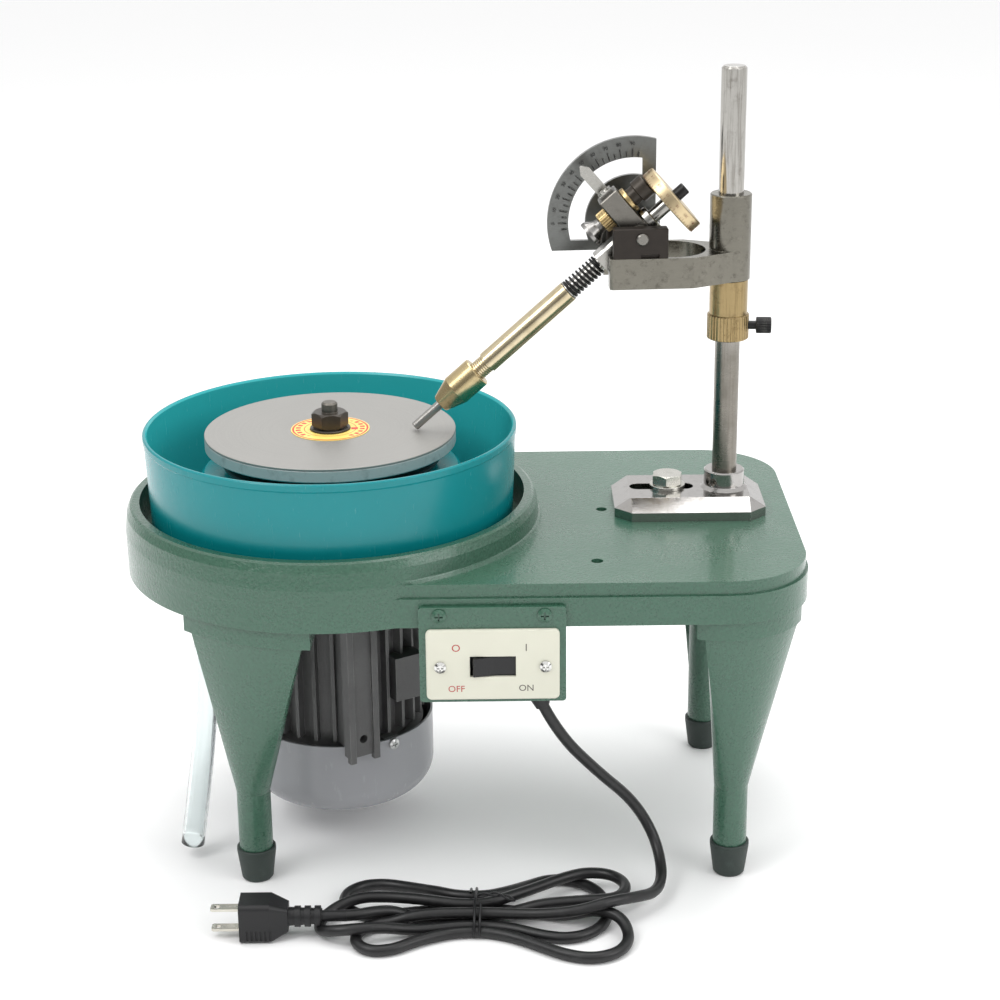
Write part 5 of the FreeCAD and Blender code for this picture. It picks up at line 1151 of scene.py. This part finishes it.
@dataclass
class Head:
    """The tilting head with its index gear, quill, chuck and dop."""

    place: Place
    nodes: Mapping[str, bpy.types.Object]
    gear_near: float = 22.9 * MM
    gear_radius: float = 21.5 * MM
    spring_low: float = -52.2 * MM
    spring_high: float = -28.2 * MM
    spring_radius: float = 5.45 * MM
    spring_wire: float = 0.72 * MM
    spring_turns: float = 9.5
    steps: int = 64
    mark_start: float = 0.75 * MM
    long_mark: float = 2.4 * MM
    short_mark: float = 1.5 * MM
    mark_half: float = 0.11 * MM
    figure: float = 1.5 * MM
    ink: DarkOxide = DarkOxide("gear ink", (0.16, 0.030, 0.012), 0.5, edge=0.0)

    def build(self) -> None:
        """Dresses the head and marks the gear's rim."""
        quill = self.place.quill()
        origin = tuple(quill.translation)
        axis = tuple(quill.to_3x3() @ Vector((1.0, 0.0, 0.0)))

        def turned(name: str, colour: Colour, rough: float, **more: Any) -> TurnedMetal:
            """Metal turned about the quill's axis."""
            return TurnedMetal(name, colour, rough, origin=origin, axis=axis, **more)
        bright = turned("polished quill steel", (0.42, 0.41, 0.385), 0.22,
                        tarnish=(0.14, 0.13, 0.115), streak=0.3)
        knurl = turned("knurled brass", (0.48, 0.36, 0.18), 0.30, tarnish=(0.16, 0.11, 0.05))
        dress(self.nodes, {
            "head_block": BrushedMetal("milled head steel", (0.20, 0.19, 0.17), 0.30,
                                       blotch=0.35),
            "quill_guide": bright, "pointer": BrushedMetal("pointer steel", (0.46, 0.45, 0.42),
                                                           0.27, blotch=0.25),
            "lock_ring": knurl, "detent_nut": knurl,
            "detent_housing": DarkOxide("dark housing", (0.040, 0.032, 0.024), 0.36,
                                        bare=(0.16, 0.12, 0.09)),
            "detent_plunger": turned("plunger steel", (0.30, 0.29, 0.28), 0.28,
                                     tarnish=(0.15, 0.15, 0.15)),
            "quill_shaft": bright,
            "index_gear": turned("satin gear brass", (0.60, 0.485, 0.30), 0.34, pitch=0.35 * MM,
                                 tarnish=(0.26, 0.18, 0.09), stain=0.25),
            "gear_screw": DarkOxide("black socket screw", (0.012, 0.012, 0.012), 0.33),
            "spring_washer": bright,
            "quill_tube": turned("bright brass tube", (0.62, 0.53, 0.36), 0.18,
                                 tarnish=(0.26, 0.19, 0.09), stain=0.2, streak=0.25),
            "collet_nut": turned("turned brass nut", (0.54, 0.43, 0.24), 0.24,
                                 tarnish=(0.2, 0.12, 0.05), stain=0.3),
            "dop_stick": turned("dop steel", (0.36, 0.35, 0.33), 0.36,
                                tarnish=(0.12, 0.11, 0.10), stain=0.5)})
        self.mark_gear(quill)
        self.wind_spring(quill)

    def wind_spring(self, quill: Matrix) -> None:
        """Winds the quill spring as one fixed coil carried by the head.

        Args:
            quill: the quill's frame.
        """
        wire, turns, each = self.spring_wire, self.spring_turns, 24
        start, end = self.spring_low + wire, self.spring_high - wire
        closed = 2.0 * wire
        pitch = (end - start - 2.0 * closed) / (turns - 2.0)
        path: List[Vector] = []
        for i in range(int(turns * each) + 1):
            turn = i / each
            middle = min(max(turn - 1.0, 0.0), turns - 2.0)
            x = start + closed * (min(turn, 1.0) + max(turn - turns + 1.0, 0.0)) + pitch * middle
            angle = 2.0 * math.pi * turn
            path.append(quill @ Vector((x, self.spring_radius * math.cos(angle),
                                        self.spring_radius * math.sin(angle))))
        shape = bmesh.new()
        MeshShop.wire(shape, path, wire, 12)
        coil = MeshShop.publish("coil_spring", shape,
                                DarkOxide("black spring", (0.008, 0.008, 0.008), 0.30,
                                          bare=(0.02, 0.02, 0.02), edge=0.0))
        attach(coil, "head")
        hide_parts("quill_spring")
        tuple(quill.to_3x3() @ Vector((1.0, 0.0, 0.0)))
        tuple(quill @ Vector((self.spring_high, 0.0, 0.0)))
        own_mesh(coil)
        log.info("coil_spring: %d points on its line", len(path))

    def mark_gear(self, quill: Matrix) -> None:
        """Marks each index step on the gear's rim, with a plain figure every fourth.

        Args:
            quill: the quill's frame.
        """
        shape = bmesh.new()
        for i in range(self.steps):
            angle = 2.0 * math.pi * i / self.steps
            turn = quill @ Matrix.Rotation(angle, 4, "X")
            fourth = i % 4 == 0
            start = self.gear_near + self.mark_start
            end = start + (self.long_mark if fourth else self.short_mark)
            MeshShop.brick(shape, (start, -self.mark_half, self.gear_radius - 0.05 * MM),
                           (end, self.mark_half, self.gear_radius + 0.025 * MM), turn)
            if fourth:
                at = Matrix.Translation(Vector((self.gear_near + 5.1 * MM, 0.0,
                                                self.gear_radius)))
                along = Matrix.Rotation(math.radians(90.0), 4, "Z")
                MeshShop.figures(shape, str(i or self.steps), self.figure, turn @ at @ along)
        piece = MeshShop.publish("gear_marks", shape, self.ink, smooth=False)
        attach(piece, "quill")
        log.info("gear_marks: %d steps", self.steps)


# ---------------------------------------------------------------------- studio
@dataclass
class Studio:
    """Pale floor, soft light and the camera."""

    place: Place
    camera_from_spindle: Point = (98.085, -1232.479, 650.177)
    lens: float = 77.857
    heading: float = -0.0024
    dip: float = 0.3451
    roll: float = 0.0106
    floor_reach: float = 25.0
    softboxes: Tuple[Tuple[str, Point, float, float], ...] = (
        ("key_softbox", (-0.95, -0.75, 1.35), 0.80, 9.5),
        ("fill_softbox", (1.25, -0.85, 0.75), 0.80, 6.0),
        ("top_softbox", (0.15, 0.55, 1.75), 1.30, 19.0))

    def build(self) -> None:
        """Sets up the floor, the lights and the camera."""
        self.make_floor()
        self.make_sky()
        middle = self.place.on_machine(80.0, 0.0, 190.0)
        for name, away, size, power in self.softboxes:
            self.lamp(name, middle + Vector(away), middle, size, power)
        self.make_camera()

    def make_floor(self) -> None:
        """A plain pale floor that reaches past the view."""
        shape = bmesh.new()
        for x, y in ((-1, -1), (1, -1), (1, 1), (-1, 1)):
            shape.verts.new((x * self.floor_reach, y * self.floor_reach, 0.0))
        shape.faces.new(shape.verts[:])
        floor = MeshShop.publish("studio_floor", shape,
                                 MattFloor("pale floor", (0.96, 0.96, 0.96), 0.7, edge=0.0),
                                 smooth=False)

    def make_sky(self) -> None:
        """Soft white surroundings, darker low down behind the camera."""
        world = bpy.data.worlds.new("studio surroundings")
        world.use_nodes = True
        bpy.context.scene.world = world
        r = Recipe(world.node_tree)
        ray = r.add("ShaderNodeTexCoord", {}, {}, "Generated")
        up = r.vector("DOT_PRODUCT", ray, (0.0, 0.0, 1.0), "Value")
        front = r.vector("DOT_PRODUCT", ray, (0.0, -1.0, 0.0), "Value")
        side = r.vector("DOT_PRODUCT", ray, (1.0, 0.0, 0.0), "Value")
        dark = front.step(0.25, 0.85) * (1.0 - up.step(0.15, 0.65))
        dark_right = side.step(0.55, 0.95) * (1.0 - up.step(0.2, 0.6)) * 0.5
        dark_left = (-side).step(0.35, 0.85) * (1.0 - up.step(0.25, 0.7)) * 0.65
        level = 1.08 - dark * 0.80 - dark_right - dark_left
        light = r.add("ShaderNodeBackground", {}, {"Color": (1.0, 1.0, 1.0), "Strength": level})
        r.add("ShaderNodeOutputWorld", {}, {"Surface": light})

    def lamp(self, name: str, at: Vector, aim: Vector, size: float, power: float) -> None:
        """Adds one softbox.

        Args:
            name: its name.
            at: where it stands.
            aim: what it points at.
            size: length of its side in metres.
            power: in watts.
        """
        light = bpy.data.lights.new(name, "AREA")
        light.shape = "SQUARE"
        light.size = size
        light.energy = power
        holder = bpy.data.objects.new(name, light)
        holder.location = at
        holder.rotation_euler = (aim - at).to_track_quat("-Z", "Y").to_euler()
        bpy.context.scene.collection.objects.link(holder)

    def make_camera(self) -> None:
        """Stands the camera where the whole machine fills the view."""
        lens = bpy.data.cameras.new("camera")
        lens.lens = self.lens
        lens.sensor_width = 36.0
        lens.clip_start = 0.05
        holder = bpy.data.objects.new("camera", lens)
        az, dip = -self.heading, self.dip
        ahead = Vector((math.sin(az) * math.cos(dip), math.cos(az) * math.cos(dip),
                        -math.sin(dip)))
        right = ahead.cross(Vector((0.0, 0.0, 1.0))).normalized()
        down = ahead.cross(right)
        turned = right * math.cos(self.roll) + down * math.sin(self.roll)
        low = down * math.cos(self.roll) - right * math.sin(self.roll)
        frame = Matrix((turned, -low, -ahead)).transposed().to_4x4()
        spot = self.place.on_machine(*self.camera_from_spindle)
        holder.matrix_world = Matrix.Translation(spot) @ frame
        bpy.context.scene.collection.objects.link(holder)
        bpy.context.scene.camera = holder


def main() -> None:
    """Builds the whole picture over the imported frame."""
    logging.basicConfig(level=logging.INFO, format="%(name)s: %(message)s")
    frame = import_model()
    scene = bpy.context.scene
    scene.view_settings.view_transform = "Standard"
    nodes = frame["nodes"]
    place = Place.read()
    Studio(place).build()
    Lead(place, nodes).build()
    for assembly in (Body(place, nodes), Drive(place, nodes), Switch(nodes),
                     Mast(place, nodes), Arm(place, nodes), Head(place, nodes)):
        assembly.build()
        log.info("built %s", type(assembly).__name__)


if __name__ == "__main__":
    main()
